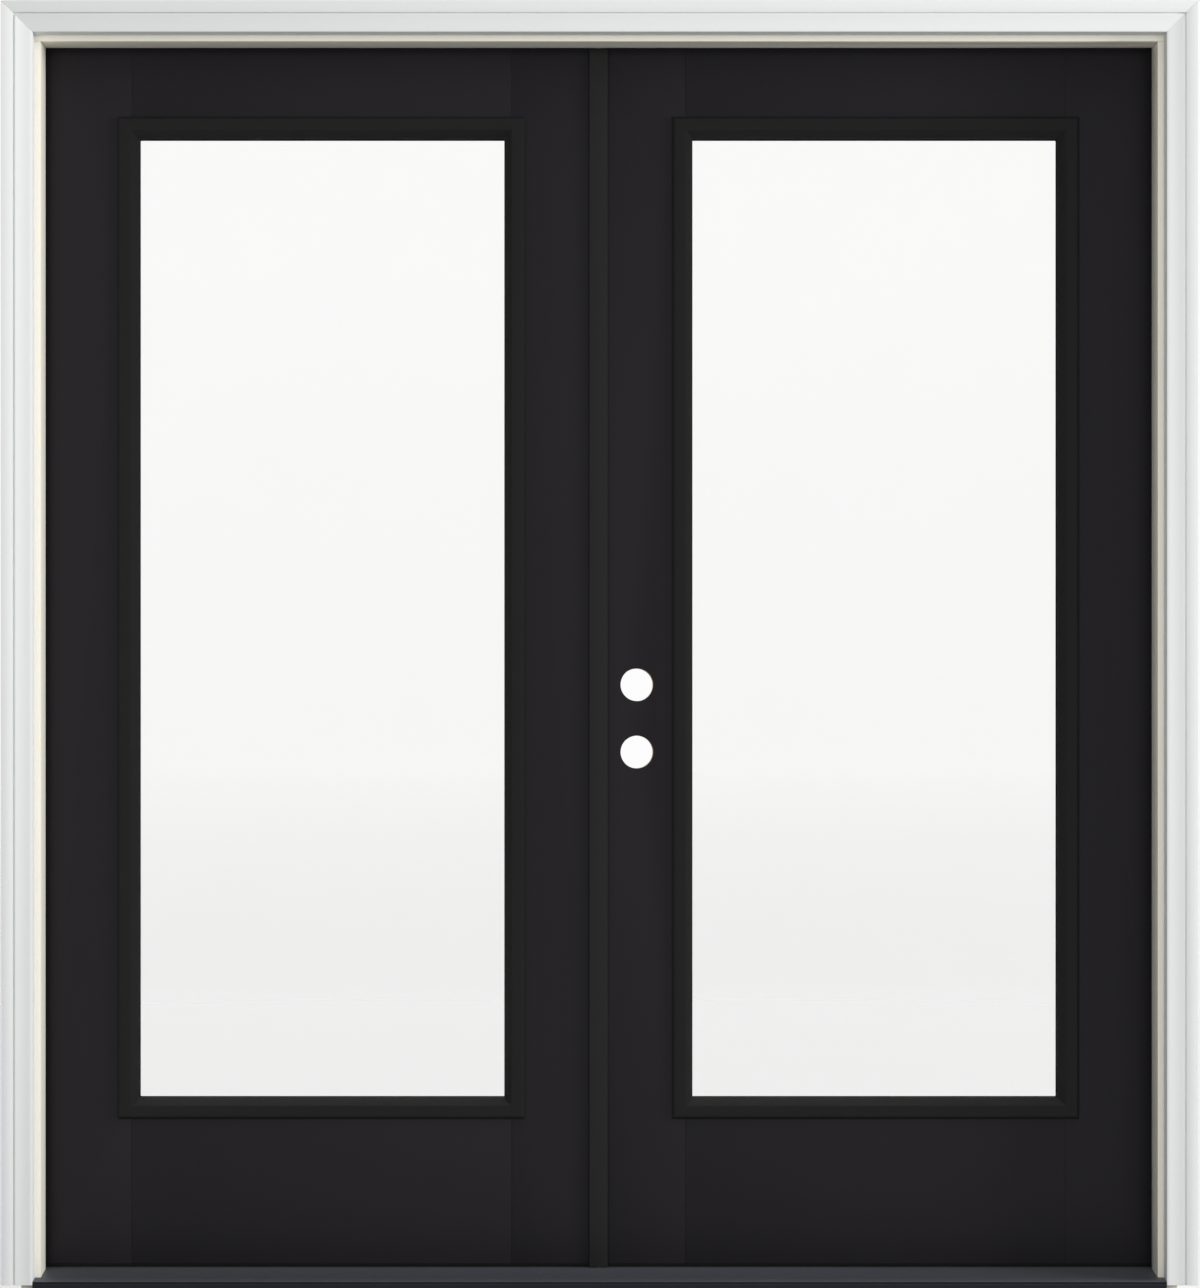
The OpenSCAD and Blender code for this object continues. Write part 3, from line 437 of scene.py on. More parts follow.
def sill_composite(along):
    """Pressed composite with pale and dark flecks."""
    made, mix = start("sill_composite")
    place = mix.place()
    flecks = mix.cells(mix.stretched(place, (0.25, 1, 1)), 380)
    mottle = mix.noise(place, 45, 4)
    return close(made, mix, {
        "Base Color": mix.scaled(finishes().substrate, 0.7 + 0.35 * mottle + 0.3 * flecks),
        "Roughness": 0.72 + 0.15 * mottle,
        "Normal": mix.bump(0.5 * flecks + 0.5 * mottle, 0.15 * MM)})


def soft_rubber(along):
    """Matt weatherstrip rubber with bloom and a fine skin."""
    made, mix = start("black_rubber")
    place = mix.place()
    bloom = mix.noise(place, 30, 3)
    skin = mix.noise(place, 1300, 2)
    return close(made, mix, {
        "Base Color": mix.scaled(finishes().rubber, 0.8 + 0.3 * bloom + 0.2 * skin),
        "Roughness": 0.7 + 0.18 * bloom,
        "Specular IOR Level": 0.3,
        "Normal": mix.bump(skin, 0.06 * MM)})


def spacer_metal(along):
    """Roll-formed aluminium spacer with two rows of breather holes facing the air space."""
    made, mix = start("spacer_aluminium")
    place = mix.place()
    drawn = mix.noise(place, 500, 3)
    run = mix.part_of(place, 0) + mix.part_of(place, 2)
    across = mix.part_of(place, 1) - sum(corner.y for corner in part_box("left_glass_spacer")) / 2
    from_row = mix.maths("ABSOLUTE", mix.maths("ABSOLUTE", across) - 3.2 * MM)
    hole = (mix.maths("PINGPONG", run * 250, 0.5) > 0.36) * (from_row < 0.45 * MM)
    return close(made, mix, {
        "Base Color": mix.scaled(finishes().spacer, 0.85 + 0.2 * drawn - 0.7 * hole),
        "Metallic": 0.9,
        "Roughness": 0.34 + 0.12 * drawn + 0.3 * hole,
        "Normal": mix.bump(0.3 * drawn - hole, 0.1 * MM)})


def pine(along):
    """Finger-jointed pine with its rings drawn out along the grain."""
    made, mix = start("pine_" + along)
    place = mix.place()
    grain = mix.stretched(place, ALONG[along])
    rings = mix.noise(grain, 85, 4, 0.55)
    fibres = mix.noise(grain, 900, 2)
    bands = mix.maths("PINGPONG", rings * 9, 1.0)
    late = 0.15 + 0.55 * bands + 0.2 * fibres
    return close(made, mix, {
        "Base Color": mix.blend(late, finishes().pine_light, finishes().pine_dark),
        "Roughness": 0.55 + 0.15 * fibres,
        "Specular IOR Level": 0.3,
        "Normal": mix.bump(0.4 * bands + 0.6 * fibres, 0.08 * MM)})


def rigid_foam(along):
    """Closed-cell foam."""
    made, mix = start("rigid_foam")
    place = mix.place()
    cells = mix.cells(place, 700)
    drift = mix.noise(place, 14, 3)
    return close(made, mix, {
        "Base Color": mix.scaled(finishes().foam, 0.8 + 0.2 * drift + 0.25 * cells),
        "Roughness": 0.85 - 0.1 * cells,
        "Normal": mix.bump(cells, 0.3 * MM)})


def satin_nickel(along):
    """Satin plated metal, brushed lengthwise, duller where it is handled."""
    made, mix = start("satin_nickel")
    place = mix.place()
    brushed = mix.noise(mix.stretched(place, (1, 1, 0.03)), 1600, 3)
    haze = mix.noise(place, 60, 3)
    return close(made, mix, {
        "Base Color": mix.scaled(finishes().nickel, 0.84 + 0.14 * brushed + 0.06 * haze),
        "Metallic": 1.0,
        "Roughness": 0.26 + 0.14 * brushed + 0.08 * haze,
        "Normal": mix.bump(brushed, 0.02 * MM)})


def zinc_plate(along):
    """Zinc plating with its cloudy bloom."""
    made, mix = start("zinc_plate")
    place = mix.place()
    bloom = mix.noise(place, 380, 4, 0.6)
    pits = mix.cells(place, 1600)
    return close(made, mix, {
        "Base Color": mix.scaled(finishes().zinc, 0.76 + 0.24 * bloom + 0.08 * pits),
        "Metallic": 1.0,
        "Roughness": 0.3 + 0.22 * bloom,
        "Normal": mix.bump(0.5 * bloom + 0.5 * pits, 0.02 * MM)})


def clear_glass(along):
    """Clear float glass: nearly all light passes, and the rest mirrors the room."""
    made, mix = start("clear_glass")
    place = mix.place()
    film = mix.noise(place, 9, 4, 0.6)
    gloss = mix.node("ShaderNodeFresnel", None, {"IOR": 1.45})
    mirror = mix.node("ShaderNodeBsdfPrincipled", None, {
        "Base Color": (0.9, 0.93, 0.92), "Metallic": 1.0, "Roughness": 0.01 + 0.03 * film})
    passing = mix.node("ShaderNodeBsdfTransparent", None, {"Color": finishes().glass_tint})
    share = (gloss * (0.3 + 0.12 * film)).clamped()
    output_to(mix, mix.node("ShaderNodeMixShader", None, {0: share, 1: passing, 2: mirror}))
    return made


FINISH_OF = {
    "cream_vinyl": cream_vinyl, "white_brickmould": white_mould, "black_rubber": soft_rubber,
    "sill_substrate": sill_composite, "slate_aluminium": slate_metal, "clear_glass": clear_glass,
    "spacer_aluminium": spacer_metal, "stile_wood": pine, "foam_core": rigid_foam,
    "black_paint": painted_face, "black_moulding": moulded_black, "black_aluminium": coated_metal,
    "screw_steel": zinc_plate, "hinge_steel": satin_nickel}
mixed = {}


def finish_for(node, along):
    """The finish of a CAD node's material slot, mixed once for each direction of its grain."""
    key = SLOT_OF[node], along
    if key not in mixed:
        mixed[key] = FINISH_OF[SLOT_OF[node]](along)
    return mixed[key]


# ---------- Modelling by hand ----------


def only(piece):
    """Leaves one piece selected and active, in object mode."""
    if bpy.context.object is not None and bpy.context.object.mode != "OBJECT":
        bpy.ops.object.mode_set(mode="OBJECT")
    bpy.ops.object.select_all(action="DESELECT")
    if piece is not None:
        piece.select_set(True)
        bpy.context.view_layer.objects.active = piece


@contextmanager
def editing(piece):
    """Edit mode on one piece, with everything in it selected."""
    only(piece)
    bpy.ops.object.mode_set(mode="EDIT")
    bpy.ops.mesh.select_mode(type="VERT")
    bpy.ops.mesh.select_all(action="SELECT")
    yield
    bpy.ops.object.mode_set(mode="OBJECT")


def pick(kind, wanted):
    """In edit mode, selects the edges or faces whose middle passes the test."""
    bpy.ops.mesh.select_mode(type=kind)
    bpy.ops.mesh.select_all(action="DESELECT")
    mesh = bmesh.from_edit_mesh(bpy.context.object.data)
    if kind == "EDGE":
        for edge in mesh.edges:
            edge.select_set(wanted(edge, (edge.verts[0].co + edge.verts[1].co) / 2))
    else:
        for face in mesh.faces:
            face.select_set(wanted(face, face.calc_center_median()))
    mesh.select_flush_mode()
    bmesh.update_edit_mesh(bpy.context.object.data)


def settled(piece, name):
    """Names a piece and puts its place into its mesh."""
    only(piece)
    bpy.ops.object.transform_apply(location=True, rotation=True, scale=True)
    piece.name = piece.data.name = name
    return piece


def outward(piece):
    """Merges what meets and points every face outward."""
    with editing(piece):
        bpy.ops.mesh.remove_doubles(threshold=WELD)
        bpy.ops.mesh.select_all(action="SELECT")
        bpy.ops.mesh.normals_make_consistent(inside=False)


def closed_up(name):
    """Ends the drawing of a closed piece: out of edit mode, named, in place and facing outward."""
    bpy.ops.object.mode_set(mode="OBJECT")
    piece = settled(bpy.context.object, name)
    outward(piece)
    return piece


def smoothed(piece):
    """Smooths the shading across everything but the sharp edges."""
    only(piece)
    bpy.ops.object.shade_smooth_by_angle(angle=SHARP)
    return piece


def ease(piece, width, segments=2):
    """Rounds the sharp edges a little and smooths the shading between them."""
    only(piece)
    bevel = piece.modifiers.new("Ease", "BEVEL")
    bevel.width, bevel.segments = width, segments
    bevel.limit_method, bevel.angle_limit = "ANGLE", SHARP
    bevel.use_clamp_overlap = False
    bpy.ops.object.modifier_apply(modifier=bevel.name)
    return smoothed(piece)


def block(name, low, high):
    """A box at its size and place."""
    only(None)
    middle, size = (low + high) / 2, high - low
    bpy.ops.mesh.primitive_cube_add(size=1, location=middle, enter_editmode=True)
    bpy.ops.transform.resize(value=size, center_override=middle)
    bpy.ops.object.mode_set(mode="OBJECT")
    return settled(bpy.context.object, name)


def traced(points):
    """Draws an outline by extruding one vertex from point to point."""
    only(None)
    bpy.ops.mesh.primitive_plane_add(size=MM, location=points[0], enter_editmode=True)
    bpy.ops.mesh.select_mode(type="VERT")
    bpy.ops.mesh.merge(type="CENTER")
    for here, there in zip(points, points[1:]):
        bpy.ops.mesh.extrude_vertices_move(TRANSFORM_OT_translate={"value": there - here})
    bpy.ops.mesh.select_all(action="SELECT")


def bar(name, section, along, start_at, end_at):
    """A bar of one section: its outline is drawn, filled and extruded along X or Z."""
    if along == "X":
        points, way = [Vector((start_at, a, b)) for a, b in section], X
    else:
        points, way = [Vector((a, b, start_at)) for a, b in section], Z
    traced(points)
    bpy.ops.mesh.edge_face_add()
    bpy.ops.mesh.extrude_region_move(TRANSFORM_OT_translate={"value": way * (end_at - start_at)})
    return closed_up(name)


def turned(name, outline, steps):
    """A turned piece: a half section of (radius, height) spun about Z."""
    traced([Vector((r, 0, h)) for r, h in outline])
    bpy.ops.mesh.spin(steps=steps, angle=2 * math.pi, center=(0, 0, 0), axis=Z)
    return closed_up(name)


def ring(name, middle, width, height, profile):
    """A frame round an opening: a rectangle of edges is extruded and widened along the profile of
    (distance outward, place along Y), and its last loop is bridged to the first."""
    only(None)
    out, y = profile[0]
    centre = Vector((middle.x, y, middle.z))
    bpy.ops.mesh.primitive_plane_add(size=1, location=centre, rotation=(QUARTER_TURN, 0, 0),
                                     enter_editmode=True)
    bpy.ops.transform.resize(value=(width + 2 * out, 1, height + 2 * out), center_override=centre)
    bpy.ops.mesh.delete(type="ONLY_FACE")
    bpy.ops.mesh.select_mode(type="EDGE")
    bpy.ops.mesh.select_all(action="SELECT")
    for next_out, next_y in profile[1:]:
        wider, taller = ((side + 2 * next_out) / (side + 2 * out) for side in (width, height))
        bpy.ops.mesh.extrude_region_move(TRANSFORM_OT_translate={"value": Y * (next_y - y)})
        bpy.ops.transform.resize(value=(wider, 1, taller),
                                 center_override=(centre.x, next_y, centre.z))
        out, y = next_out, next_y
    pick("EDGE", lambda edge, middle: edge.is_boundary)
    bpy.ops.mesh.bridge_edge_loops()
    return closed_up(name)


def cut(piece, point, normal):
    """Cuts off what lies beyond a plane and closes the cut."""
    with editing(piece):
        bpy.ops.mesh.bisect(plane_co=point, plane_no=normal, use_fill=True, clear_outer=True)


def carved(piece, cutter):
    """Takes one shape out of another."""
    only(piece)
    carve = piece.modifiers.new("Carve", "BOOLEAN")
    carve.operation, carve.object, carve.solver = "DIFFERENCE", cutter, "EXACT"
    bpy.ops.object.modifier_apply(modifier=carve.name)
    bpy.data.objects.remove(cutter)
    return piece


def joined(name, pieces):
    """Joins pieces into one."""
    only(pieces[0])
    for piece in pieces:
        piece.select_set(True)
    if len(pieces) > 1:
        bpy.ops.object.join()
    return settled(bpy.context.object, name)


def own_copy(piece, name):
    """A copy of a piece with its own mesh."""
    copy = bpy.data.objects.new(name, piece.data.copy())
    bpy.context.scene.collection.objects.link(copy)
    return copy


def arc(centre, radius, start_deg, end_deg, steps):
    """Points along an arc in a section's two directions."""
    turns = [math.radians(start_deg + (end_deg - start_deg) * i / steps) for i in range(steps + 1)]
    return [(centre[0] + radius * math.cos(t), centre[1] + radius * math.sin(t)) for t in turns]


def merged_copy(node, name):
    """A copy of a CAD node with its triangles merged into whole faces."""
    piece = own_copy(frame["nodes"][node], name)
    with editing(piece):
        bpy.ops.mesh.customdata_custom_splitnormals_clear()
        bpy.ops.mesh.remove_doubles(threshold=WELD)
        bpy.ops.mesh.dissolve_limited(angle_limit=FLAT)
    return piece


def span(corners):
    """Lowest and highest corner of some points."""
    return (Vector([min(c[i] for c in corners) for i in range(3)]),
            Vector([max(c[i] for c in corners) for i in range(3)]))


def solids_of(node):
    """The corners of each separate solid of a CAD node."""
    mesh = bmesh.new()
    mesh.from_mesh(frame["nodes"][node].data)
    bmesh.ops.remove_doubles(mesh, verts=mesh.verts[:], dist=WELD)
    left, groups = set(mesh.verts), []
    for seed in mesh.verts:
        if seed not in left:
            continue
        left.discard(seed)
        group, todo = [], [seed]
        while todo:
            corner = todo.pop()
            group.append(corner.co.copy())
            for edge in corner.link_edges:
                other = edge.other_vert(corner)
                if other in left:
                    left.discard(other)
                    todo.append(other)
        groups.append(group)
    mesh.free()
    return groups


def fitted(piece, node, along="Z"):
    """Puts a finished piece in its CAD node's place, with that node's finish, slot and body."""
    piece.data.materials.clear()
    piece.data.materials.append(finish_for(node, along))
    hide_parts(node)
    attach(piece, frame["nodes"][node]["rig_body"])
    return piece


def eased(node, name, width, along="Z", segments=2):
    """A CAD node's shape with its edges eased, fitted in its place."""
    return fitted(ease(merged_copy(node, name), width, segments), node, along)


# ---------- The pieces ----------

# The CAD nodes that these pieces replace, and the pieces' names
SCREW_SETS = {
    "frame_screws": "screws_frame",
    "frame_hinge_screws": "screws_frame_hinges",
    "left_door_hinge_screws": "screws_left_hinges",
    "right_door_hinge_screws": "screws_right_hinges",
    "left_lite_screws": "screws_left_glazing",
    "right_lite_screws": "screws_right_glazing",
    "left_edge_screws": "screws_left_edge"}
BOLT_PIECES = {
    "top_flush_bolt": "flush_bolt_upper",
    "bottom_flush_bolt": "flush_bolt_lower",
    "flush_bolt_plates": "bolt_plates",
    "strike_plates": "edge_strikes",
    "bolt_strikes": "bolt_sockets"}


def brickmould_section(width, thickness):
    """Points of (distance from the inner edge, distance out from the jamb)."""
    s = sizes()
    field = width - s.mould_band - s.mould_groove
    lip, steps = s.mould_nosing, HOLLOW_STEPS
    hollow = [(lip + (field - lip) * i / steps,
               thickness - s.mould_hollow * math.sin(math.pi * i / steps))
              for i in range(steps + 1)]
    floor = thickness - s.mould_groove_depth
    return [(0, 0), (0, thickness), *hollow, (field, floor), (field + s.mould_groove, floor),
            (field + s.mould_groove, thickness), (width, thickness), (width, 0)]


class FRENCH_DOORS_OT_brickmould(bpy.types.Operator):
    """Mitred brickmould along both sides and the top"""

    bl_idname = "french_doors.brickmould"
    bl_label = "Brickmould"

    def execute(self, context):
        low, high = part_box("right_brickmould")
        inner, thickness, width = low.x, high.y - low.y, high.x - low.x
        inner_top = high.z - width
        section = brickmould_section(width, thickness)
        for side in SIDES:
            out = OUTWARD[side]
            place = [(out * (inner + u), high.y - v) for u, v in section]
            piece = bar(f"brickmould_{side}", place, "Z", low.z, high.z)
            cut(piece, (out * inner, 0, inner_top), (-out, 0, 1))
            fitted(ease(piece, sizes().mould_ease), f"{side}_brickmould", "Z")
        place = [(high.y - v, inner_top + u) for u, v in section]
        piece = bar("brickmould_head", place, "X", -high.x, high.x)
        for out in OUTWARD.values():
            cut(piece, (out * inner, 0, inner_top), (out, 0, -1))
        fitted(ease(piece, sizes().mould_ease), "head_brickmould", "X")
        return {"FINISHED"}


class FRENCH_DOORS_OT_jambs(bpy.types.Operator):
    """Rabbeted side jambs and head jamb"""

    bl_idname = "french_doors.jambs"
    bl_label = "Jambs"

    def execute(self, context):
        for side in SIDES:
            eased(f"{side}_jamb", f"jamb_{side}", sizes().jamb_ease)
        eased("head_jamb", "jamb_head", sizes().jamb_ease, "X")
        return {"FINISHED"}


def strip_section(radius, middle, stem_at, stem_end):
    """Weatherstrip section of (distance from the kerf's side, place along the stem): a bulb with
    a fold line, on a barbed stem. The bulb's middle is at (radius, middle)."""
    near, far = stem_at - STEM_HALF_W, stem_at + STEM_HALF_W

    def meets_stem(side):
        """The angle at which the bulb meets a side of the stem, in degrees."""
        across = side - radius
        return math.degrees(math.atan2(-math.sqrt(radius ** 2 - across ** 2), across))

    fold = math.radians(FOLD_DEG)
    bulb = arc((radius, middle), radius, meets_stem(far), FOLD_DEG - FOLD_HALF_DEG, BULB_STEPS)
    bulb.append((radius + FOLD_SHARE * radius * math.cos(fold),
                 middle + FOLD_SHARE * radius * math.sin(fold)))
    bulb += arc((radius, middle), radius, FOLD_DEG + FOLD_HALF_DEG, meets_stem(near) + 360,
                BULB_STEPS)
    barbs = [stem_end + BARB_FIRST + i * BARB_PITCH for i in range(BARBS)]
    down = [point for y in reversed(barbs) for point in
            ((near, y), (near - BARB_REACH, y - BARB_TIP), (near, y - BARB_H))]
    up = [point for y in barbs for point in
          ((far, y - BARB_H), (far + BARB_REACH, y - BARB_TIP), (far, y))]
    return bulb + down + [(near + BARB_REACH, stem_end), (far - BARB_REACH, stem_end)] + up


class FRENCH_DOORS_OT_weatherstrips(bpy.types.Operator):
    """Bulb weatherstrips in the jambs' kerfs, and the pads at their feet"""

    bl_idname = "french_doors.weatherstrips"
    bl_label = "Weatherstrips"

    def execute(self, context):
        for side in SIDES:
            low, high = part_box(f"{side}_weatherstrip")
            radius = (high.x - low.x) / 2
            kerf_side = high.x if side == "right" else low.x
            section = [(kerf_side - OUTWARD[side] * a, b) for a, b in
                       strip_section(radius, high.y - radius, KERF_W / 2, low.y)]
            piece = bar(f"weatherstrip_{side}", section, "Z", low.z, high.z)
            fitted(smoothed(piece), f"{side}_weatherstrip")
        low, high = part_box("head_weatherstrip")
        radius = (high.z - low.z) / 2
        section = [(b, high.z - a) for a, b in
                   strip_section(radius, high.y - radius, KERF_W / 2 + KERF_SLIP, low.y)]
        fitted(smoothed(bar("weatherstrip_head", section, "X", low.x, high.x)), "head_weatherstrip")
        pads = []
        for corners in solids_of("corner_pads"):
            low, high = span(corners)
            pad = block("pad", low, high)
            with editing(pad):
                pick("FACE", lambda face, middle: face.normal.y < -0.9)
                bpy.ops.mesh.inset(thickness=PAD_MARGIN, depth=-PAD_DENT)
            pads.append(ease(pad, PAD_EASE, 3))
        fitted(joined("corner_foam_pads", pads), "corner_pads")
        return {"FINISHED"}


class FRENCH_DOORS_OT_sill(bpy.types.Operator):
    """Composite sill base, its metal deck and the threshold cap"""

    bl_idname = "french_doors.sill"
    bl_label = "Sill"

    def execute(self, context):
        eased("sill_base", "sill_composite_base", sizes().wood_ease, "X")
        eased("sill_deck", "sill_metal_deck", sizes().metal_ease, "X", 3)
        eased("threshold_cap", "threshold_metal_cap", sizes().wood_ease, "X", 3)
        return {"FINISHED"}


class FRENCH_DOORS_OT_slabs(bpy.types.Operator):
    """Faces, stiles, rails and foam of both leaves"""

    bl_idname = "french_doors.slabs"
    bl_label = "Leaves"

    def execute(self, context):
        for side in SIDES:
            edge = "meeting_stile" if side == "left" else "lock_stile"
            for face in ("outer", "inner"):
                eased(f"{side}_{face}_skin", f"leaf_face_{side}_{face}", sizes().skin_ease)
            for stile in ("hinge_stile", edge):
                eased(f"{side}_{stile}", f"{stile}_{side}", sizes().wood_ease)
            for rail in ("top_rail", "bottom_rail"):
                eased(f"{side}_{rail}", f"{rail}_{side}", sizes().wood_ease, "X")
            eased(f"{side}_core", f"foam_core_{side}", sizes().wood_ease)
        return {"FINISHED"}


def screw_places(node):
    """The head's middle, the way the shank points and the length of each screw in a CAD node."""
    for corners in solids_of(node):
        low, high = span(corners)
        axis = max(range(3), key=lambda i: high[i] - low[i])
        middle = (low + high) / 2
        radii = []
        for end in (low[axis], high[axis]):
            centre = middle + AXES[axis] * (end - middle[axis])
            radii.append(max((c - centre).length for c in corners if abs(c[axis] - end) < WELD))
        way = 1 if radii[0] > radii[1] else -1
        head = middle.copy()
        head[axis] = low[axis] if way > 0 else high[axis]
        yield head, AXES[axis] * way, high[axis] - low[axis]


def screw_model(size):
    """One countersunk screw with a crossed recess, its head at the origin and its shank down."""
    pitch = sizes().screw_pitch
    neck = 2 * HEAD_H
    outline = [(0, 0), (HEAD_R - HEAD_RIM, 0), (HEAD_R, -HEAD_DROP),
               (SHANK_R, -HEAD_H), (SHANK_R, -neck)]
    for i in range(int((size - neck - POINT_L) / pitch)):
        z = -neck - i * pitch
        outline += [(ROOT_R, z - ROOT_START * pitch), (ROOT_R, z - ROOT_END * pitch),
                    (SHANK_R, z - CREST * pitch)]
    outline += [(ROOT_R, -size + POINT_L), (TIP_R, -size + TIP_R), (0, -size)]
    screw = turned("screw", outline, 12)
    for wide, thin in ((RECESS_W, RECESS_T), (RECESS_T, RECESS_W)):
        corner = Vector((wide, thin, RECESS_D))
        carved(screw, block("recess", -corner, corner))
    return smoothed(screw)


def countersinks(node):
    """Cones that open the seats of a CAD node's screws."""
    seats = []
    for head, way, size in screw_places(node):
        only(None)
        bpy.ops.mesh.primitive_cone_add(
            vertices=16, radius1=HEAD_R + SEAT_SLACK, radius2=SHANK_R + SEAT_SLACK,
            depth=HEAD_H + SEAT_SLACK, location=head + way * HEAD_H / 2,
            rotation=Z.rotation_difference(way).to_euler())
        seats.append(bpy.context.object)
    return joined("seats", seats)


class FRENCH_DOORS_OT_screws(bpy.types.Operator):
    """Every screw, with its crossed recess and its thread"""

    bl_idname = "french_doors.screws"
    bl_label = "Screws"

    def execute(self, context):
        models = {}
        for node, name in SCREW_SETS.items():
            screws = []
            for head, way, size in screw_places(node):
                size = round(size, 5)
                if size not in models:
                    models[size] = screw_model(size)
                screw = own_copy(models[size], "screw")
                turn = (-Z).rotation_difference(way).to_matrix().to_4x4()
                screw.matrix_world = Matrix.Translation(head) @ turn
                screws.append(screw)
            fitted(joined(name, screws), node)
        for model in models.values():
            bpy.data.objects.remove(model)
        return {"FINISHED"}


def glazing_profile(glass, face, skin, half_y):
    """Section of an outer glazing frame, as a ring's profile: lip and bevel beside the glass, flat
    face, chamfered outer edge, and the web that meets the inner frame halfway."""
    s = sizes()
    return [
        (0, glass), (0, glass - LITE_LIP), (s.lite_bevel, face),
        (LITE_FACE_W - s.lite_chamfer, face), (LITE_FACE_W, face + s.lite_chamfer),
        (LITE_FACE_W, skin), (WEB_OUT, skin), (WEB_OUT, half_y), (WEB_IN, half_y), (WEB_IN, glass)]


def spacer_profile(back, front):
    """Section of a glass spacer, as a ring's profile, with its corners cut off."""
    cut_off, across = SPACER_CORNER, SPACER_W - SPACER_CORNER
    return [
        (0, back + cut_off / 2), (0, front - cut_off / 2), (cut_off, front), (across, front),
        (SPACER_W, front - cut_off), (SPACER_W, back + cut_off), (across, back), (cut_off, back)]


class FRENCH_DOORS_OT_glazing(bpy.types.Operator):
    """Glazing frames, panes and spacers of both leaves"""

    bl_idname = "french_doors.glazing"
    bl_label = "Glazing"

    def execute(self, context):
        s = sizes()
        for side in SIDES:
            low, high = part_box(f"{side}_outer_lite_frame")
            middle = (low + high) / 2
            width, height = high.x - low.x - 2 * LITE_FACE_W, high.z - low.z - 2 * LITE_FACE_W
            half_y = high.y
            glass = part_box(f"{side}_outer_pane")[0].y
            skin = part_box(f"{side}_outer_skin")[0].y
            profile = glazing_profile(glass, low.y, skin, half_y)
            piece = ring(f"glazing_frame_{side}_outer", middle, width, height, profile)
            fitted(ease(piece, s.lite_round, 3), f"{side}_outer_lite_frame")
            piece = ring(f"glazing_frame_{side}_inner", middle, width, height,
                         [(out, 2 * half_y - y) for out, y in profile])
            carved(ease(piece, s.lite_round, 3), countersinks(f"{side}_lite_screws"))
            fitted(smoothed(piece), f"{side}_inner_lite_frame")
            for pane in ("outer", "inner"):
                piece = block(f"glass_{side}_{pane}", *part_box(f"{side}_{pane}_pane"))
                fitted(ease(piece, s.glass_arris, 1), f"{side}_{pane}_pane")
            low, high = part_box(f"{side}_glass_spacer")
            width, height = high.x - low.x - 2 * SPACER_W, high.z - low.z - 2 * SPACER_W
            piece = ring(f"spacer_{side}", middle, width, height, spacer_profile(low.y, high.y))
            fitted(ease(piece, SPACER_EASE), f"{side}_glass_spacer")
        return {"FINISHED"}


class FRENCH_DOORS_OT_sweeps(bpy.types.Operator):
    """Finned sweeps under both leaves"""

    bl_idname = "french_doors.sweeps"
    bl_label = "Sweeps"

    def execute(self, context):
        for side in SIDES:
            low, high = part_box(f"{side}_door_sweep")
            shelf = high.z - SWEEP_BASE_T
            pitch = (high.y - low.y - FIN_T) / (FINS - 1)
            trim = (FIN_T - sizes().fin_tip) / 2
            section = [(low.y, high.z), (high.y, high.z)]
            for i in reversed(range(FINS)):
                back = low.y + i * pitch
                section += [(back + FIN_T, shelf), (back + FIN_T - trim, low.z + trim),
                            (back + FIN_T / 2, low.z), (back + trim, low.z + trim), (back, shelf)]
            piece = bar(f"sweep_{side}", section, "X", low.x, high.x)
            if side == "left":
                strike_low, strike_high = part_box("bolt_strikes")
                at = (strike_low + strike_high) / 2
                only(None)
                bpy.ops.mesh.primitive_cylinder_add(
                    vertices=32, radius=BOLT_HOLE_R, depth=4 * (high.z - low.z),
                    location=(at.x, at.y, high.z))
                carved(piece, bpy.context.object)
            fitted(smoothed(piece), f"{side}_door_sweep")
        return {"FINISHED"}


class FRENCH_DOORS_OT_astragal(bpy.types.Operator):
    """The astragal over the meeting gap, and its seal"""

    bl_idname = "french_doors.astragal"
    bl_label = "Astragal"

    def execute(self, context):
        eased("astragal", "astragal_strip", sizes().metal_ease, segments=3)
        low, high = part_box("astragal_seal")
        pitch = (high.x - low.x) / SEAL_BULBS
        web = low.y + SEAL_WEB_T
        section = [(low.x, low.y), (high.x, low.y), (high.x, web)]
        for i in reversed(range(SEAL_BULBS)):
            middle = low.x + (i + 0.5) * pitch
            section += arc((middle, web), min(pitch * BULB_SHARE, high.y - web), 0, 180, SEAL_STEPS)
        section.append((low.x, web))
        fitted(smoothed(bar("astragal_lip_seal", section, "Z", low.z, high.z)), "astragal_seal")
        return {"FINISHED"}


def pin_model(radius, tall):
    """A hinge pin standing on the origin. Its domed head has this radius."""
    neck = tall - PIN_HEAD_H
    outline = [(0, PIN_FOOT), (PIN_R - PIN_CHAMFER, PIN_FOOT), (PIN_R, PIN_FOOT + PIN_CHAMFER),
               (PIN_R, neck), (radius, neck)]
    for up in [math.radians(degrees) for degrees in range(0, 91, 15)]:
        dome = (PIN_HEAD_H - PIN_RIM_H) * math.sin(up)
        outline.append((radius * math.cos(up), neck + PIN_RIM_H + dome))
    return smoothed(turned("pin", outline, 24))


class FRENCH_DOORS_OT_hinges(bpy.types.Operator):
    """Hinge leaves, and pins with domed heads"""

    bl_idname = "french_doors.hinges"
    bl_label = "Hinges"

    def execute(self, context):
        for side in SIDES:
            for part in ("frame", "door"):
                name = f"hinge_leaves_{side}_{part}"
                eased(f"{side}_{part}_hinge_leaves", name, sizes().metal_ease)
            pins = []
            for corners in solids_of(f"{side}_hinge_pins"):
                low, high = span(corners)
                middle = (low + high) / 2
                pin = pin_model((high.x - low.x) / 2, high.z - low.z)
                pin.matrix_world = Matrix.Translation((middle.x, middle.y, low.z))
                pins.append(pin)
            fitted(joined(f"hinge_pins_{side}", pins), f"{side}_hinge_pins")
        return {"FINISHED"}


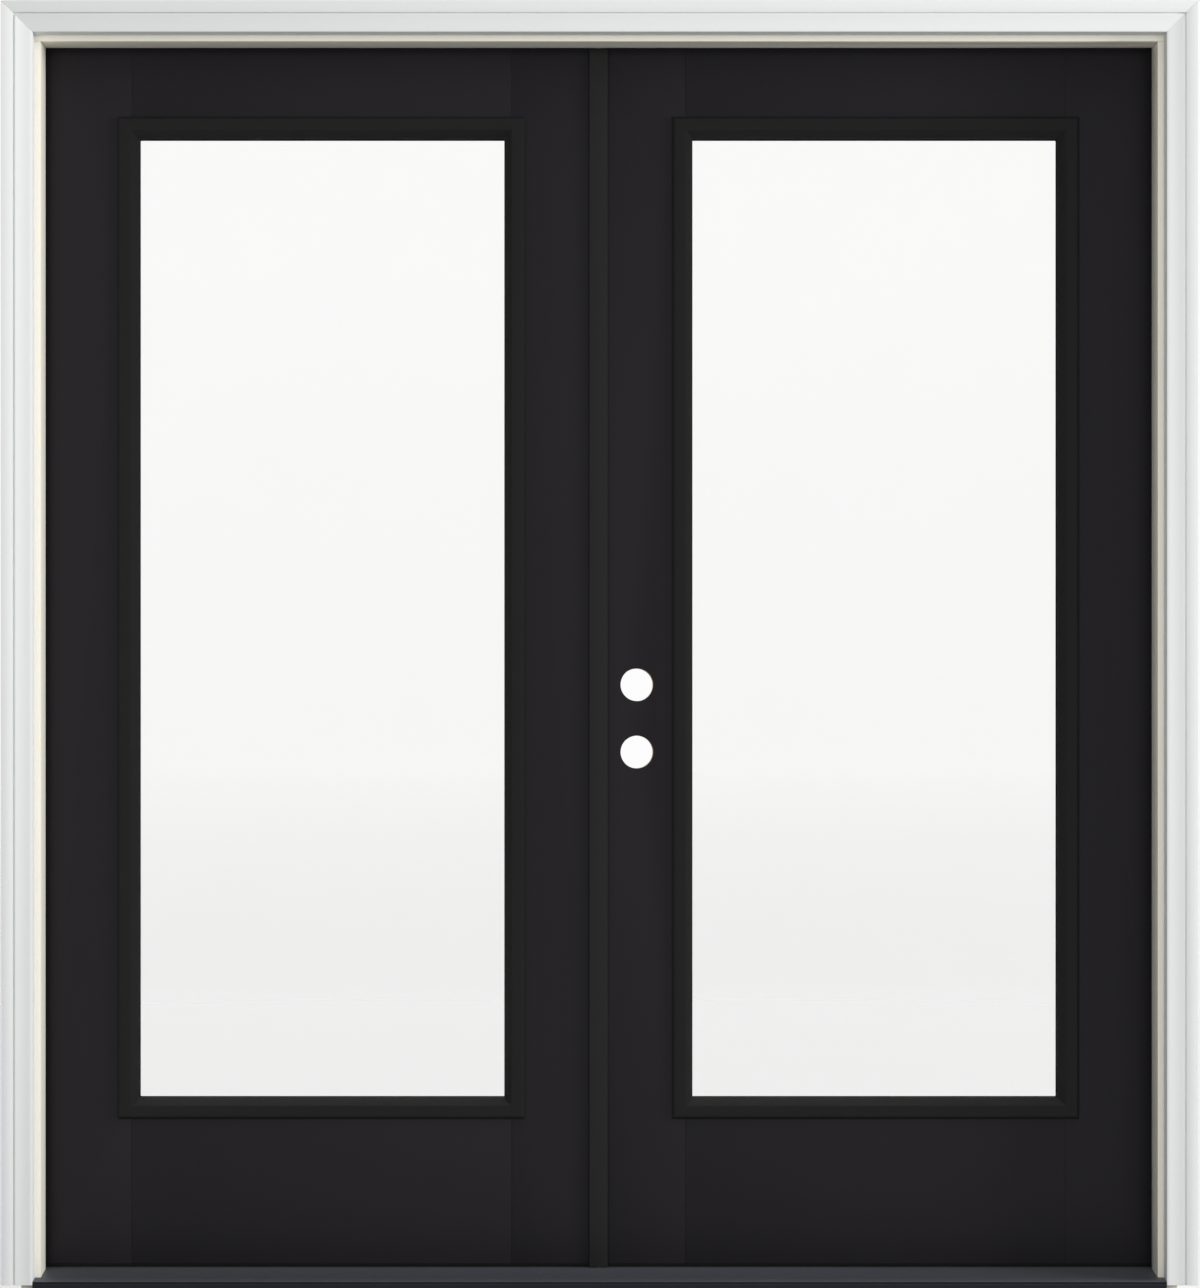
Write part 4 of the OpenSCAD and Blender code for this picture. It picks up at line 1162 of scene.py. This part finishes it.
class FRENCH_DOORS_OT_bolts(bpy.types.Operator):
    """Flush bolts, their plates and every strike"""

    bl_idname = "french_doors.bolts"
    bl_label = "Bolts and strikes"

    def execute(self, context):
        for node, name in BOLT_PIECES.items():
            eased(node, name, sizes().metal_ease)
        return {"FINISHED"}


class FRENCH_DOORS_OT_studio(bpy.types.Operator):
    """Pale floor, soft light and the camera"""

    bl_idname = "french_doors.studio"
    bl_label = "Studio"

    def execute(self, context):
        s = studio()
        scene = context.scene
        only(None)
        bpy.ops.mesh.primitive_circle_add(vertices=96, radius=s.floor_radius, fill_type="NGON")
        floor = settled(bpy.context.object, "studio_floor")
        floor.data.materials.append(floor_finish())
        room_light(scene)
        lamp("front", *FRONT_LAMP, s.front)
        lamp("side", *SIDE_LAMP, s.side)
        bpy.ops.object.camera_add(location=(s.across, -s.distance, s.eye),
                                  rotation=(QUARTER_TURN, 0, 0))
        camera = bpy.context.object
        camera.name = "camera"
        camera.data.sensor_width = SENSOR_W_MM
        camera.data.lens = s.lens
        camera.data.shift_x, camera.data.shift_y = s.shift
        scene.camera = camera
        scene.view_settings.view_transform = "Standard"
        return {"FINISHED"}


def lamp(name, place, size, power):
    """A rectangular soft light on the doors that is neither seen nor mirrored."""
    only(None)
    bpy.ops.object.light_add(type="AREA", location=place)
    light = bpy.context.object
    light.name = name
    light.rotation_euler = (Vector(LAMP_AIM) - Vector(place)).to_track_quat("-Z", "Y").to_euler()
    light.data.shape = "RECTANGLE"
    light.data.size, light.data.size_y = size
    light.data.energy = power
    light.visible_camera = light.visible_glossy = False


def floor_finish():
    """Pale matt floor that thins out with distance and has faded into the backdrop at its rim."""
    made, mix = start("pale_floor")
    place = mix.place()
    s = studio()
    reach = mix.node("ShaderNodeVectorMath", {"operation": "LENGTH"}, {0: place}, 1)
    rim = (1.0 - reach / s.floor_radius).clamped()
    dust = mix.noise(place, 1.6, 3)
    return close(made, mix, {
        "Base Color": mix.scaled(shade(246, 246, 247), 0.97 + 0.04 * dust),
        "Roughness": 0.85,
        "Specular IOR Level": 0.1,
        "Alpha": rim * s.floor_body / (1.0 + reach / s.floor_thin)})


def room_light(scene):
    """Soft light from all round, more of it from the ceiling and the rear, and for the camera a
    white backdrop that is a little duller at eye level."""
    scene.world = bpy.data.worlds.new("room")
    scene.world.use_nodes = True
    mix = Recipe(scene.world.node_tree)
    s = studio()
    way = mix.node("ShaderNodeTexCoord")
    up, back = [mix.maths("MAXIMUM", mix.part_of(way, axis), 0.0) for axis in (2, 1)]
    seen = mix.node("ShaderNodeLightPath", output="Is Camera Ray")
    backdrop = (s.backdrop + 0.2 * up).clamped()
    lit = s.room + s.ceiling * up * up + s.rear * back * back
    strength = (1.0 - seen) * lit + seen * backdrop
    surface = mix.node("ShaderNodeBackground", None,
                       {"Color": (1.0, 1.0, 1.0), "Strength": strength})
    output_to(mix, surface, "ShaderNodeOutputWorld")


STEPS = (
    FRENCH_DOORS_OT_jambs, FRENCH_DOORS_OT_brickmould, FRENCH_DOORS_OT_weatherstrips,
    FRENCH_DOORS_OT_sill, FRENCH_DOORS_OT_slabs, FRENCH_DOORS_OT_glazing, FRENCH_DOORS_OT_sweeps,
    FRENCH_DOORS_OT_astragal, FRENCH_DOORS_OT_hinges, FRENCH_DOORS_OT_bolts,
    FRENCH_DOORS_OT_screws, FRENCH_DOORS_OT_studio)
GROUPS = {"door_sizes": DoorSizes, "door_finishes": DoorFinishes, "door_studio": DoorStudio}


class FRENCH_DOORS_PT_panel(bpy.types.Panel):
    """Every piece of the doors, with the sizes and colours that shape it"""

    bl_label = "French doors"
    bl_idname = "FRENCH_DOORS_PT_panel"
    bl_space_type = "VIEW_3D"
    bl_region_type = "UI"
    bl_category = "French doors"

    def draw(self, context):
        layout = self.layout
        for step in STEPS:
            layout.operator(step.bl_idname)
        for group_name, group in GROUPS.items():
            box = layout.box()
            for setting in group.__annotations__:
                box.prop(getattr(context.scene, group_name), setting)


def register():
    for part in (*GROUPS.values(), *STEPS, FRENCH_DOORS_PT_panel):
        bpy.utils.register_class(part)
    for group_name, group in GROUPS.items():
        setattr(bpy.types.Scene, group_name, PointerProperty(type=group))


def unregister():
    for group_name in GROUPS:
        delattr(bpy.types.Scene, group_name)
    for part in (FRENCH_DOORS_PT_panel, *reversed(STEPS), *GROUPS.values()):
        bpy.utils.unregister_class(part)


def main():
    register()
    for step in STEPS:
        getattr(bpy.ops.french_doors, step.bl_idname.split(".")[1])()
    only(None)


if __name__ == "__main__":
    main()
